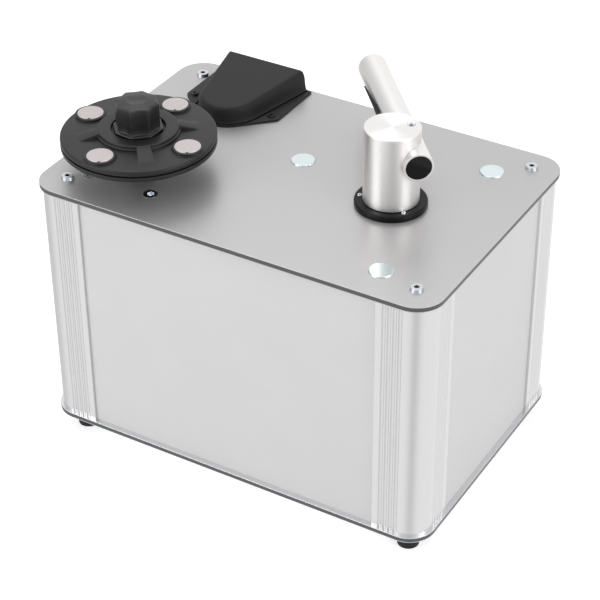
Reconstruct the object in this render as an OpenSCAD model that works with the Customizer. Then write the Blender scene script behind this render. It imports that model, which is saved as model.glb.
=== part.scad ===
// Vacuum record cleaning machine: a case of composite plates and extruded corner posts, a platter
// with a record clamp, and a hollow column that carries a swinging suction arm.
// The origin is the centre of the footprint on the ground. +X runs along the long side, +Y to
// the rear, where the air leaves, and +Z up. All sizes are in millimetres.

/* [Case] */
// Length of the top and bottom plates, along X
case_w = 330; // [310:1:360]
// Depth of the top and bottom plates, along Y
case_d = 224; // [216:1:250]
// Height from the bottom plate's underside to the top plate's face
case_h = 208; // [202:1:240]
// Thickness of the composite plates
plate_t = 4; // [3:0.5:6]
// Radius of the plates' corners
corner_r = 21; // [18:0.5:25]
// How far the plates stand out past the corner posts
plate_overhang = 2.3; // [2:0.1:6]
// Thickness of the side panels
panel_t = 2; // [1.5:0.1:3]
// How far the side panels lie behind the posts' faces
panel_recess = 2; // [0.8:0.1:2]
// How deep a panel's edge goes into its post
panel_grip = 4; // [2.5:0.1:4]

/* [Corner posts] */
// Wall of the extruded posts
post_wall = 3; // [2.4:0.1:4]
// Width of the plain lip beside the panel
lip_w = 4.5; // [4.5:0.1:7]
// Number of flutes on each face of a post
flute_count = 4; // [2:1:5]
// Distance from one flute to the next
flute_pitch = 4.2; // [3.8:0.1:5]
// Width of one flute
flute_w = 3.4; // [2:0.1:3.6]
// Depth of one flute
flute_depth = 0.7; // [0.3:0.1:1]
// Radius of the screw channel's wall in a post
channel_r = 5; // [4:0.1:6]

/* [Feet and case screws] */
// Height of the rubber feet with their washers
foot_h = 17.5; // [10:0.5:24]
// Radius of a foot where it meets its washer
foot_r = 9; // [7:0.5:12]
// Radius of a foot where it meets the ground
foot_tip_r = 8.2; // [6:0.1:9]
// Thickness of a foot's washer
washer_t = 0.8; // [0.5:0.1:1.5]
// Radius of the case screws' shank
case_screw_r = 2.45; // [2:0.05:3]
// Radius of the case screws' head
case_head_r = 5; // [4:0.1:5.4]
// Height of the case screws' head
case_head_h = 2.8; // [2:0.1:3.4]
// How far the case screws go into their posts
case_screw_grip = 16; // [8:1:30]

/* [Platter] */
// Distance of the spindle from the left edge of the plates
spindle_from_left = 58.5; // [50:0.5:64]
// Distance of the spindle from the front edge of the plates
spindle_from_front = 60.5; // [54:0.5:70]
// Radius of the platter
platter_r = 57.3; // [54:0.1:59]
// Thickness of the platter
platter_t = 3; // [2.5:0.1:5]
// Height of the platter's underside over the top plate
platter_lift = 22; // [20:0.5:28]
// Thickness of the platter's rubber mat
mat_t = 1; // [0.6:0.1:2]
// Radius of the hub under the platter
hub_r = 9; // [8:0.5:12]
// Radius of the spindle's journal, below the record
journal_r = 5; // [4:0.1:6]
// Radius of the spindle pin that goes through the record
pin_r = 3.55; // [3:0.05:3.6]
// Height of the spindle pin over the mat
pin_h = 27; // [20:0.5:28]

/* [Record clamp] */
// Gap between the clamp's seal and the mat
clamp_gap = 0.2; // [0.1:0.1:1.5]
// Height of the clamp's outer edge
clamp_edge_h = 4; // [3:0.1:6]
// Rise of the clamp's shallow cone from its edge to its ring
clamp_rise = 0.6; // [0.3:0.1:1.2]
// Wall of the clamp
clamp_wall = 3; // [2:0.1:4]
// Radius of the raised ring
ring_r = 29.7; // [28:0.1:31]
// Height of each of the ring's two steps
ring_step = 2.05; // [1.8:0.05:3]
// Radius of the recess round the knob
recess_r = 20; // [19.5:0.1:24]
// Depth of the recess round the knob
recess_depth = 3; // [2:0.1:3.6]
// Radius of the circle on which the inserts lie
insert_circle_r = 44.6; // [43.5:0.1:45]
// Radius of an insert
insert_r = 9.7; // [7:0.1:10]
// Height of the insert's boss over the clamp's edge
boss_rise = 2; // [1.5:0.1:3]
// How far an insert stands over its boss
insert_proud = 0.4; // [0.2:0.1:1.5]
// Angle of the first insert
insert_angle = 86.6; // [0:0.1:90]
// Width of a gusset between ring and cone
gusset_w = 10.5; // [6:0.5:14]
// Radius at which a gusset runs out
gusset_end_r = 42; // [36:0.5:46]

/* [Knob] */
// Radius of the knob across its corners
knob_r = 16.8; // [14:0.1:18]
// Height of the knob from the recess to its shoulder
knob_side_h = 23.2; // [22.8:0.1:30]
// Height of the cone on top of the knob
knob_cone_h = 1.6; // [1:0.1:6]
// Radius of the flat on top of the knob
knob_flat_r = 7.4; // [4:0.1:10]
// Number of the knob's faces
knob_faces = 8; // [6:1:12]
// Depth of the hollow in each of the knob's faces
knob_hollow = 0.9; // [0.2:0.1:1.5]

/* [Arm column] */
// Distance of the column from the right edge of the plates
column_from_right = 88; // [80:0.5:92]
// Place of the column along Y
column_y = -3.3; // [-8:0.1:8]
// Radius of the column
column_r = 20.5; // [20:0.1:23]
// Height of the column's top over the top plate
column_h = 63; // [60:0.5:75]
// Height of the column's lower end over the top plate
column_foot_h = 5; // [4.4:0.1:6]
// Radius of the collar that the column turns in
collar_r = 26.7; // [26.2:0.1:30]
// Height of the collar
collar_h = 4.5; // [4:0.1:10]
// Radius of the rounding on the collar's top edge
collar_round = 1.5; // [0.5:0.1:1.8]
// Radius of the suction pipe inside the column
pipe_r = 11; // [9:0.1:11.5]
// Wall of the suction pipe
pipe_wall = 1.6; // [1:0.1:2.5]
// How far the arm drops when the vacuum draws it to the record
arm_drop = 2; // [1:0.1:2.2]

/* [Suction arm] */
// Radius of the arm's tube
arm_r = 11; // [9:0.1:11.4]
// Wall of the arm's tube
arm_wall = 1.5; // [1:0.1:2.5]
// Height of the arm's axis over the top plate
arm_h = 42.5; // [42:0.1:45]
// Distance from the column's axis to the arm's axis
arm_offset = 13.5; // [12.5:0.1:15]
// Length of the arm's short end, from the column's axis to the black cap
arm_front = 25; // [24:0.5:35]
// Clear distance between the arm's tip and the clamp, with the arm over the spindle
arm_tip_gap = 5.7; // [1.5:0.1:12]
// Direction in which the arm points at rest, from +X
arm_rest_angle = 131.1; // [120:0.1:140]
// Width of the suction slot
slot_w = 2; // [1:0.1:3]
// Half width of the lip pad at the column's end
pad_wide = 10.4; // [8:0.1:10.6]
// Half width of the lip pad at the arm's tip
pad_narrow = 5.4; // [4:0.1:8]
// Wall of the lip pad's saddle round the tube
saddle_wall = 0.9; // [0.6:0.1:1.2]
// Thickness of the velvet
velvet_t = 3; // [1:0.1:3.2]

/* [Air cover] */
// Half width of the cover's flange
flange_half_w = 41.7; // [41:0.1:45]
// Thickness of the cover's flange
flange_t = 2; // [1.5:0.1:3]
// Half width of the scoop at its mouth
scoop_half_w = 36.5; // [33:0.5:37]
// Radius of the scoop's nose
scoop_nose_r = 25; // [20:0.5:27]
// Height of the scoop at its mouth, over the top plate
scoop_h = 18; // [15:0.5:20]
// Height of the scoop at its nose, over the top plate
scoop_nose_h = 13.5; // [11:0.5:15]
// Wall of the scoop
scoop_wall = 2; // [1.2:0.1:3]
// Place of the cover's middle from the left edge of the plates
cover_from_left = 69.5; // [64:0.5:76]
// Length from the front of the scoop's nose to the rear edge of the plates
scoop_len = 82; // [80:0.5:84]
// Space between the scoop's mouth and the rear edge of the plates
mouth_setback = 4; // [3:0.5:5]
// Length from the front of the flange to the rear edge of the plates
flange_len = 85.5; // [85:0.5:88]
// Length of the flange's straight sides, to the rear edge of the plates
flange_side_len = 53; // [51:0.5:54]
// Rounding of the flange's side corners
flange_corner_r = 4; // [2:0.5:5]

/* [Inside] */
// Radius of the collecting tank
tank_r = 66; // [60:0.5:68]
// Depth of the collecting tank
tank_h = 160; // [120:1:168]
// Wall of the collecting tank
tank_wall = 2.5; // [2:0.1:4]
// Radius of the vacuum fan's housing
fan_r = 54; // [48:0.5:55]
// Height of the vacuum fan's housing
fan_h = 50; // [44:1:54]
// Radius of the vacuum motor's can
vacuum_can_r = 40; // [34:0.5:44]
// Height of the vacuum motor's can
vacuum_can_h = 50; // [40:1:54]
// Number of blades on the impeller
blade_count = 9; // [6:1:14]
// Number of teeth on the platter's gear
gear_teeth = 45; // [42:3:45]
// Number of teeth on the motor's pinion
pinion_teeth = 15; // [15:1:15]
// Module of the gears
gear_module = 0.8; // [0.8:0.05:0.8]
// Face width of the gears
gear_face = 8; // [5:0.5:10]
// Side of the square gearbox
gearbox_side = 69; // [68:0.5:72]
// Height of the gearbox without its lid
gearbox_h = 20; // [18:0.5:24]
// Length of the platter motor's can
platter_motor_h = 44; // [36:1:50]
// Radius of the drain socket's bore
drain_r = 5; // [4:0.1:6]

/* [Hidden] */

$fn = 64;

// Clearances that every fit uses
fit_gap = 0.05;
slide_gap = 0.08;
screw_gap = 0.3;
seat_gap = 0.1;
eps = 0.5;

// Levels, from the ground up
floor_z = foot_h;
floor_top_z = floor_z + plate_t;
top_z = foot_h + case_h;
deck_z = top_z - plate_t;
post_h = deck_z - floor_top_z;

// Plan of the case
half_w = case_w / 2;
half_d = case_d / 2;
post_r = corner_r - plate_overhang;
post_size = lip_w + flute_count * flute_pitch + post_r;
post_x = half_w - plate_overhang;
post_y = half_d - plate_overhang;
corner_x = half_w - corner_r;
corner_y = half_d - corner_r;
slot_depth = panel_grip + fit_gap * 4;
slot_t = panel_t + 2 * fit_gap;
groove_flange = 1.6;
panel_face_x = post_x - panel_recess;
panel_face_y = post_y - panel_recess;

// Spindle, clamp and column
spindle_x = spindle_from_left - half_w;
spindle_y = spindle_from_front - half_d;
column_x = half_w - column_from_right;
platter_z = top_z + platter_lift;
mat_z = platter_z + platter_t;
clamp_z = mat_z + mat_t + clamp_gap;
clamp_edge_z = clamp_z + clamp_edge_h;
cone_top_z = clamp_edge_z + clamp_rise;
ring_z = cone_top_z + 2 * ring_step;
recess_z = ring_z - recess_depth;
knob_z = recess_z + seat_gap;
knob_shoulder_z = knob_z + knob_side_h;
pin_top_z = mat_z + mat_t + pin_h;

// Vacuum fan's axis
fan_x = -62;
fan_y = 10;

// Points on a circle, as a list
function arc(x, y, r, from, to, steps) =
  [for (i = [0:steps]) let (a = from + (to - from) * i / steps) [x + r * cos(a), y + r * sin(a)]];

// A closed solid through a stack of rings that all have the same number of points
module loft(rings) {
  n = len(rings[0]);
  m = len(rings);
  points = [for (ring = rings) for (p = ring) p];
  sides = [for (k = [0:m - 2]) for (i = [0:n - 1])
    let (a = k * n + i, b = k * n + (i + 1) % n)
    each [[a, a + n, b + n], [a, b + n, b]]];
  bottom = [[for (i = [0:n - 1]) i]];
  top = [[for (i = [n - 1:-1:0]) (m - 1) * n + i]];
  polyhedron(points, concat(bottom, sides, top));
}

module at_corners(x, y) {
  for (sx = [-1, 1], sy = [-1, 1]) translate([sx * x, sy * y, 0]) children();
}

module ring(r_out, r_in, h) {
  difference() {
    cylinder(r = r_out, h = h);
    translate([0, 0, -eps]) cylinder(r = r_in, h = h + 2 * eps);
  }
}

module rounded_plate(w, d, r, h) {
  linear_extrude(h) union() {
    square([w - 2 * r, d], center = true);
    square([w, d - 2 * r], center = true);
    at_corners(w / 2 - r, d / 2 - r) circle(r);
  }
}

// Places on the top plate
module at_spindle() { translate([spindle_x, spindle_y, 0]) children(); }
module at_column() { translate([column_x, column_y, 0]) children(); }
module at_arm() { at_column() rotate([0, 0, arm_rest_angle]) children(); }

// Case plates
tank_bolt_r = 4;
tank_bolt_places = [[-84.7, 19.9], [43.9, 75.2], [35.6, -79.5]];
motor_screw_r = 2.5;
motor_screw_inset = 7.5;
motor_boss_r = 5.8;
motor_screw_half = gearbox_side / 2 - motor_screw_inset;
motor_head_r = 5.6;
motor_head_h = 3;
hole_gap = 0.5;
bush_r = 8;
cover_screw_r = 1.5;
cover_x = cover_from_left - half_w;
exhaust_y = half_d - 32;
exhaust_r = 13;
cover_screw_half = flange_half_w - 6.7;
cover_screw_y = half_d - flange_side_len - 0.5;
cover_screw_places = [[-cover_screw_half, cover_screw_y], [cover_screw_half, cover_screw_y]];
collar_screw_r = 1.2;
collar_screw_angles = [-158.5, -38.5, 81.5];
collar_head_r = 1.7;
collar_screw_circle = column_r + collar_head_r + 0.4;

module corner_holes() {
  at_corners(corner_x, corner_y) translate([0, 0, -eps])
    cylinder(r = case_screw_r + screw_gap, h = plate_t + 2 * eps);
}

module bottom_plate() {
  vent_r = 3;
  vent_pitch = 12;
  color("silver") translate([0, 0, floor_z]) difference() {
    rounded_plate(case_w, case_d, corner_r, plate_t);
    corner_holes();
    for (i = [-2:2], j = [-1:1]) translate([fan_x + i * vent_pitch, fan_y + j * vent_pitch, -eps])
      cylinder(r = vent_r, h = plate_t + 2 * eps, $fn = 32);
  }
}

module top_plate() {
  through = plate_t + 2 * eps;
  color("silver") translate([0, 0, deck_z]) difference() {
    rounded_plate(case_w, case_d, corner_r, plate_t);
    corner_holes();
    at_column() translate([0, 0, -eps]) cylinder(r = pipe_r + hole_gap, h = through);
    at_column() for (p = tank_bolt_places) translate([p[0], p[1], -eps])
      cylinder(r = tank_bolt_r + screw_gap, h = through);
    at_column() for (a = collar_screw_angles) rotate([0, 0, a])
      translate([collar_screw_circle, 0, -eps]) cylinder(r = collar_screw_r + fit_gap, h = through);
    at_spindle() translate([0, 0, -eps]) cylinder(r = bush_r + fit_gap, h = through);
    at_spindle() at_corners(motor_screw_half, motor_screw_half) {
      translate([0, 0, -eps]) cylinder(r = motor_screw_r + screw_gap, h = through);
      translate([0, 0, plate_t - motor_head_h - fit_gap])
        cylinder(r1 = motor_screw_r + screw_gap, r2 = motor_head_r + fit_gap, h = motor_head_h + fit_gap);
    }
    translate([cover_x, exhaust_y, -eps]) cylinder(r = exhaust_r + hole_gap, h = through);
    for (p = cover_screw_places) translate([cover_x + p[0], p[1], -eps])
      cylinder(r = cover_screw_r + fit_gap, h = through);
  }
}

// Corner posts, drawn for the corner towards +X and +Y and mirrored to the others
module post_outline(size, r) {
  union() {
    translate([-size, -size]) square([size - r, size]);
    translate([-size, -size]) square([size, size - r]);
    translate([-r, -r]) circle(r);
  }
}

module flute_cut() {
  cut_r = (flute_w * flute_w / 4 + flute_depth * flute_depth) / (2 * flute_depth);
  for (i = [0:flute_count - 1])
    translate([-post_size + lip_w + flute_pitch * (i + 0.5), cut_r - flute_depth]) circle(cut_r, $fn = 48);
}

module panel_groove() {
  block = slot_depth + groove_flange;
  difference() {
    translate([-post_size, -panel_recess - slot_t - groove_flange])
      square([block, slot_t + groove_flange + panel_recess - flute_depth / 4]);
    translate([-post_size - eps, -panel_recess - slot_t]) square([slot_depth + eps, slot_t]);
  }
}

module post_shape() {
  inner = post_size - post_wall;
  difference() {
    union() {
      difference() {
        post_outline(post_size, post_r);
        translate([-post_wall, -post_wall])
          post_outline(post_size, post_r - post_wall);
      }
      panel_groove();
      mirror([1, -1]) panel_groove();
      translate([-post_r, -post_r]) circle(channel_r);
      translate([-post_r, -post_r]) rotate([0, 0, 45]) translate([0, -1.5])
        square([post_r - post_wall / 2, 3]);
    }
    translate([-post_size - eps, -panel_recess - slot_t]) square([slot_depth + eps, slot_t]);
    mirror([1, -1]) translate([-post_size - eps, -panel_recess - slot_t])
      square([slot_depth + eps, slot_t]);
    flute_cut();
    mirror([1, -1]) flute_cut();
    translate([-post_r, -post_r]) circle(case_screw_r + fit_gap);
  }
}

module post(sx, sy) {
  color("gainsboro") mirror([sx < 0 ? 1 : 0, 0, 0]) mirror([0, sy < 0 ? 1 : 0, 0])
    translate([post_x, post_y, floor_top_z]) linear_extrude(post_h) post_shape();
}
module post_front_left() { post(-1, -1); }
module post_front_right() { post(1, -1); }
module post_rear_left() { post(-1, 1); }
module post_rear_right() { post(1, 1); }

// Side panels, held in the posts' grooves and between the plates
panel_half_x = post_x - post_size + panel_grip;
panel_half_y = post_y - post_size + panel_grip;

module long_panel(sy) {
  y = sy > 0 ? panel_face_y - panel_t - fit_gap : -panel_face_y + fit_gap;
  translate([-panel_half_x, y, floor_top_z]) cube([2 * panel_half_x, panel_t, post_h]);
}

module short_panel(sx) {
  x = sx > 0 ? panel_face_x - panel_t - fit_gap : -panel_face_x + fit_gap;
  translate([x, -panel_half_y, floor_top_z]) cube([panel_t, 2 * panel_half_y, post_h]);
}

inlet_x = fan_x + 25;
inlet_z = floor_top_z + 34;
inlet_body_w = 28;
inlet_body_h = 22;
inlet_depth = 24;
switch_front_y = -half_d + plate_overhang + post_size + 11.7;
switch_y = [switch_front_y, switch_front_y + 28];
switch_z = floor_top_z + 128;
switch_body_w = 13;
switch_body_h = 20;
switch_depth = 18;
drain_outer_r = 9;
drain_z = deck_z - 8 - tank_h + drain_r + 3;

module front_panel() { color("lightgray") long_panel(-1); }
module right_panel() { color("lightgray") short_panel(1); }

module rear_panel() {
  color("lightgray") difference() {
    long_panel(1);
    translate([inlet_x, panel_face_y, inlet_z])
      cube([inlet_body_w + screw_gap, 4 * panel_t, inlet_body_h + screw_gap], center = true);
    translate([column_x, panel_face_y, drain_z]) rotate([90, 0, 0])
      cylinder(r = drain_outer_r + fit_gap, h = 4 * panel_t, center = true);
  }
}

module left_panel() {
  color("lightgray") difference() {
    short_panel(-1);
    for (y = switch_y) translate([-panel_face_x, y, switch_z])
      cube([4 * panel_t, switch_body_w + screw_gap, switch_body_h + screw_gap], center = true);
  }
}

// Case screws and feet
module pan_screw(head_r, head_h, shank_r, shank_l, socket_r) {
  difference() {
    union() {
      cylinder(r1 = head_r, r2 = head_r * 0.86, h = head_h);
      translate([0, 0, -shank_l]) cylinder(r = shank_r, h = shank_l + eps);
    }
    translate([0, 0, head_h * 0.4]) cylinder(r = socket_r, h = head_h, $fn = 6);
  }
}

module top_screws() {
  color("whitesmoke") at_corners(corner_x, corner_y) translate([0, 0, top_z])
    pan_screw(case_head_r, case_head_h, case_screw_r, plate_t + case_screw_grip, case_head_r * 0.42);
}

foot_recess = case_head_h + 2;

module foot_screws() {
  color("silver") at_corners(corner_x, corner_y) translate([0, 0, foot_recess]) rotate([180, 0, 0])
    pan_screw(case_head_r, case_head_h, case_screw_r,
      foot_h - foot_recess + plate_t + case_screw_grip, case_head_r * 0.42);
}

module feet() {
  body_h = foot_h - washer_t;
  color("#1c1c1e") at_corners(corner_x, corner_y) difference() {
    union() {
      cylinder(r1 = foot_tip_r, r2 = foot_r, h = body_h * 0.55);
      translate([0, 0, body_h * 0.55]) cylinder(r = foot_r, h = body_h * 0.45);
    }
    translate([0, 0, -eps]) cylinder(r = case_head_r + screw_gap, h = foot_recess + eps);
    cylinder(r = case_screw_r + screw_gap, h = foot_h);
  }
}

module foot_washers() {
  color("silver") at_corners(corner_x, corner_y) translate([0, 0, floor_z - washer_t])
    ring(foot_r + 0.4, case_screw_r + screw_gap, washer_t);
}

// Column collar, pipe, spring and bush
collar_flange = 2;
chamber_r = 17.5;
bush_h = 7;
bush_z = 20;
spring_wire = 0.9;
spring_turns = 5;
tank_gasket = 2;
lid_t = 6;
lid_z = deck_z - tank_gasket - lid_t;

module column_collar() {
  bore_r = column_r + slide_gap;
  flat_w = collar_r - collar_round;
  color("#151517") at_column() translate([0, 0, top_z]) difference() {
    rotate_extrude() union() {
      square([flat_w, collar_h]);
      square([collar_r, collar_h - collar_round]);
      translate([flat_w, collar_h - collar_round]) circle(collar_round, $fn = 32);
    }
    translate([0, 0, collar_flange]) cylinder(r = bore_r, h = collar_h);
    translate([0, 0, -eps]) cylinder(r = pipe_r + slide_gap, h = collar_h);
    for (a = collar_screw_angles) rotate([0, 0, a]) translate([collar_screw_circle, 0, -eps])
      cylinder(r = collar_screw_r + fit_gap, h = collar_h + 2 * eps);
  }
}

module collar_screws() {
  color("silver") at_column() for (a = collar_screw_angles) rotate([0, 0, a])
    translate([collar_screw_circle, 0, top_z + collar_h])
    pan_screw(collar_head_r, 1.2, collar_screw_r, collar_h + plate_t, 0.8);
}

pipe_top = arm_h - arm_r - arm_drop - 1.2;

module suction_pipe() {
  color("gray") at_column() translate([0, 0, lid_z - lid_t])
    ring(pipe_r, pipe_r - pipe_wall, top_z + pipe_top - lid_z + lid_t);
}

// The spring is one tube swept along a helix between the collar's flange and the bush
module lift_spring() {
  mean_r = (pipe_r + chamber_r) / 2;
  low = top_z + collar_flange + spring_wire + fit_gap;
  high = top_z + bush_z - spring_wire - fit_gap;
  steps = spring_turns * 16;
  sides = 6;
  least_gap = (high - low) / spring_turns - 2 * spring_wire;
  echo(spring_gap_between_turns = least_gap);
  rings = [for (i = [0:steps]) let (a = 360 * spring_turns * i / steps, z = low + (high - low) * i / steps)
    [for (j = [0:sides - 1]) let (b = -360 * j / sides, r = mean_r + spring_wire * cos(b))
      [r * cos(a), r * sin(a), z + spring_wire * sin(b)]]];
  color("silver") at_column() loft(rings);
}

module column_bush() {
  color("ivory") at_column() translate([0, 0, top_z + bush_z])
    ring(chamber_r - slide_gap, pipe_r + slide_gap, bush_h - fit_gap);
}

set_screw_r = 3;
set_screw_socket_r = 1.7;
set_screw_seat = 0.1;

module arm_column() {
  chamber_top = bush_z + bush_h;
  neck_top = pipe_top + arm_drop + 0.5;
  port_top = arm_h + 8;
  edge = 0.6;
  color("gainsboro") at_arm() translate([0, 0, top_z]) difference() {
    union() {
      translate([0, 0, column_foot_h]) cylinder(r = column_r, h = column_h - column_foot_h - edge);
      translate([0, 0, column_h - edge]) cylinder(r1 = column_r, r2 = column_r - edge, h = edge);
    }
    translate([0, 0, column_foot_h - eps]) cylinder(r = chamber_r, h = chamber_top - column_foot_h + eps);
    translate([0, 0, chamber_top - eps]) cylinder(r = pipe_r + slide_gap, h = neck_top - chamber_top + eps);
    translate([0, 0, neck_top - eps]) cylinder(r = 8, h = port_top - neck_top + eps);
    translate([-column_r - eps, -arm_offset, arm_h]) rotate([0, 90, 0])
      cylinder(r = arm_r + fit_gap, h = 2 * column_r + 2 * eps);
    translate([0, -arm_offset, arm_h]) cylinder(r = set_screw_r + fit_gap, h = column_h);
  }
}

// Suction arm. It points along the local X axis, with its axis beside the column's
reach_line = sqrt(pow(column_x - spindle_x, 2) + pow(column_y - spindle_y, 2) - arm_offset * arm_offset);
arm_reach = reach_line - platter_r - arm_tip_gap;
pad_start = column_r + 11;
pad_end = arm_reach - 5;
pad_bottom = arm_r + 0.4;

module arm_tube() {
  color("gainsboro") at_arm() translate([0, -arm_offset, top_z + arm_h]) difference() {
    translate([-arm_front, 0, 0]) rotate([0, 90, 0]) ring(arm_r, arm_r - arm_wall, arm_front + arm_reach);
    translate([pad_start + 4, -slot_w / 2, -arm_r - 1]) cube([pad_end - pad_start - 8, slot_w, arm_wall + 2]);
    translate([0, arm_offset, -8]) cylinder(r = 8, h = 16);
  }
}

module arm_cap() {
  color("#121214") at_arm() translate([-arm_front + 0.4, -arm_offset, top_z + arm_h])
    rotate([0, 90, 0]) cylinder(r = arm_r - arm_wall - fit_gap, h = 8);
}

module arm_tip_plug() {
  plug_t = 6;
  color("gainsboro") at_arm() translate([arm_reach - plug_t - 0.3, -arm_offset, top_z + arm_h])
    rotate([0, 90, 0]) cylinder(r = arm_r - arm_wall - fit_gap, h = plug_t);
}

// Plan of the lip pad: a strip that narrows towards the tip
module pad_plan(inner) {
  polygon([[pad_start, inner], [pad_end, inner], [pad_end, pad_narrow], [pad_start, pad_wide]]);
}

saddle_end = arm_reach - 21;
saddle_bend = arm_reach - 63;
saddle_high = 3.6;
saddle_low = -4;

module lip_pad() {
  color("#17171a") at_arm() translate([0, -arm_offset, top_z + arm_h]) difference() {
    union() {
      translate([0, 0, -pad_bottom]) linear_extrude(pad_bottom) union() {
        pad_plan(slot_w / 2);
        mirror([0, 1]) pad_plan(slot_w / 2);
        translate([pad_start, -slot_w]) square([3, 2 * slot_w]);
        translate([pad_end - 3, -slot_w]) square([3, 2 * slot_w]);
      }
      intersection() {
        translate([pad_start, 0, 0]) rotate([0, 90, 0]) cylinder(r = arm_r + saddle_wall, h = arm_reach);
        rotate([90, 0, 0]) translate([0, 0, -2 * arm_r]) linear_extrude(4 * arm_r)
          polygon([[pad_start, -pad_bottom], [saddle_end, -pad_bottom], [saddle_end, saddle_low],
            [saddle_bend, saddle_high], [pad_start, saddle_high]]);
      }
    }
    rotate([0, 90, 0]) cylinder(r = arm_r + fit_gap, h = arm_reach);
    translate([pad_start + 3, -slot_w / 2, -2 * arm_r])
      cube([pad_end - pad_start - 6, slot_w, 2 * arm_r]);
    translate([0, -4 * arm_r, saddle_low]) cube([arm_reach, 4 * arm_r, 4 * arm_r]);
  }
}

module velvet_strips() {
  color("darkgray") at_arm() translate([0, -arm_offset, top_z + arm_h - pad_bottom - velvet_t])
    linear_extrude(velvet_t) union() {
      pad_plan(slot_w / 2 + 0.4);
      mirror([0, 1]) pad_plan(slot_w / 2 + 0.4);
    }
}

module arm_set_screw() {
  low = arm_h + arm_r + set_screw_seat;
  high = column_h - 0.4;
  color("gray") at_arm() translate([0, -arm_offset, top_z + low]) difference() {
    cylinder(r = set_screw_r, h = high - low);
    translate([0, 0, high - low - 1.6]) cylinder(r = set_screw_socket_r, h = 2, $fn = 6);
  }
}

// Platter, spindle and drive
bush_flange_r = 12;
bush_flange_t = 1.5;
gearbox_wall = 3;
gearbox_z = deck_z - gearbox_h;
lid_plate_t = 3;
gear_r = gear_teeth * gear_module / 2;
pinion_pitch_r = pinion_teeth * gear_module / 2;
gear_distance = gear_r + pinion_pitch_r + 0.15;
gear_z = gearbox_z + 4;
shaft_r = 2;
clip_t = 1;
clip_z = gearbox_z - lid_plate_t - clip_t - 0.2;
spindle_low = clip_z - 1.5;

module platter() {
  hub_low = top_z + bush_flange_t + 0.2;
  color("#202022") at_spindle() difference() {
    union() {
      translate([0, 0, platter_z]) cylinder(r = platter_r, h = platter_t);
      translate([0, 0, hub_low]) cylinder(r = hub_r, h = platter_z - hub_low + eps);
    }
    translate([0, 0, hub_low - eps]) cylinder(r = journal_r + fit_gap, h = mat_z);
  }
}

module platter_mat() {
  color("#2b2b2d") at_spindle() translate([0, 0, mat_z]) ring(platter_r - 1.5, journal_r + fit_gap, mat_t);
}

module spindle() {
  color("silver") at_spindle() difference() {
    union() {
      translate([0, 0, spindle_low]) cylinder(r = journal_r, h = mat_z + mat_t - spindle_low);
      translate([0, 0, mat_z]) cylinder(r = pin_r, h = pin_top_z - mat_z - 1);
      translate([0, 0, pin_top_z - 1]) cylinder(r1 = pin_r, r2 = pin_r - 1, h = 1);
    }
    translate([0, 0, clip_z - fit_gap]) ring(journal_r + eps, journal_r - 0.8, clip_t + 2 * fit_gap);
  }
}

module spindle_clip() {
  color("dimgray") at_spindle() translate([0, 0, clip_z]) difference() {
    ring(journal_r + 3, journal_r - 0.8 + fit_gap, clip_t);
    translate([0, -1.5, -eps]) cube([journal_r + 4, 3, clip_t + 2 * eps]);
  }
}

module spindle_bush() {
  color("#b98d4f") at_spindle() difference() {
    union() {
      translate([0, 0, top_z]) cylinder(r = bush_flange_r, h = bush_flange_t);
      translate([0, 0, deck_z - gearbox_wall]) cylinder(r = bush_r, h = plate_t + gearbox_wall + eps);
    }
    translate([0, 0, deck_z - gearbox_wall - eps])
      cylinder(r = journal_r + fit_gap, h = plate_t + gearbox_wall + bush_flange_t + 2 * eps);
  }
}

// A spur gear whose teeth are trapezoids on the root circle, with one tooth on the local X axis
module spur(teeth, bore, turn) {
  pitch_r = teeth * gear_module / 2;
  root_r = pitch_r - 1.2 * gear_module;
  tip_r = pitch_r + 0.85 * gear_module;
  pitch_angle = 360 / teeth;
  outline = [for (i = [0:teeth - 1]) let (a = turn + i * pitch_angle)
    each [
      [root_r * cos(a - 0.36 * pitch_angle), root_r * sin(a - 0.36 * pitch_angle)],
      [tip_r * cos(a - 0.1 * pitch_angle), tip_r * sin(a - 0.1 * pitch_angle)],
      [tip_r * cos(a + 0.1 * pitch_angle), tip_r * sin(a + 0.1 * pitch_angle)],
      [root_r * cos(a + 0.36 * pitch_angle), root_r * sin(a + 0.36 * pitch_angle)]
    ]];
  linear_extrude(gear_face) difference() {
    polygon(outline);
    circle(bore);
  }
}

module drive_gear() {
  color("ivory") at_spindle() translate([0, 0, gear_z]) spur(gear_teeth, journal_r + fit_gap, 0);
}

module gearbox() {
  inner = gearbox_side - 2 * gearbox_wall;
  color("dimgray") at_spindle() translate([0, 0, gearbox_z]) difference() {
    translate([-gearbox_side / 2, -gearbox_side / 2, 0]) cube([gearbox_side, gearbox_side, gearbox_h]);
    difference() {
      translate([-inner / 2, -inner / 2, -eps]) cube([inner, inner, gearbox_h - gearbox_wall + eps]);
      at_corners(motor_screw_half, motor_screw_half) translate([0, 0, -2 * eps])
        cylinder(r = motor_boss_r, h = gearbox_h);
    }
    translate([0, 0, -eps]) cylinder(r = bush_r + fit_gap, h = gearbox_h + 2 * eps);
    at_corners(motor_screw_half, motor_screw_half) translate([0, 0, -eps])
      cylinder(r = motor_screw_r + fit_gap, h = gearbox_h + 2 * eps);
  }
}

module gearbox_lid() {
  color("gray") at_spindle() translate([0, 0, gearbox_z - lid_plate_t]) difference() {
    translate([-gearbox_side / 2, -gearbox_side / 2, 0]) cube([gearbox_side, gearbox_side, lid_plate_t]);
    translate([0, 0, -eps]) cylinder(r = journal_r + fit_gap, h = lid_plate_t + 2 * eps);
    translate([gear_distance, 0, -eps]) cylinder(r = shaft_r + 1, h = lid_plate_t + 2 * eps);
    at_corners(motor_screw_half, motor_screw_half) translate([0, 0, -eps])
      cylinder(r = motor_screw_r + fit_gap, h = lid_plate_t + 2 * eps);
  }
}

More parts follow.
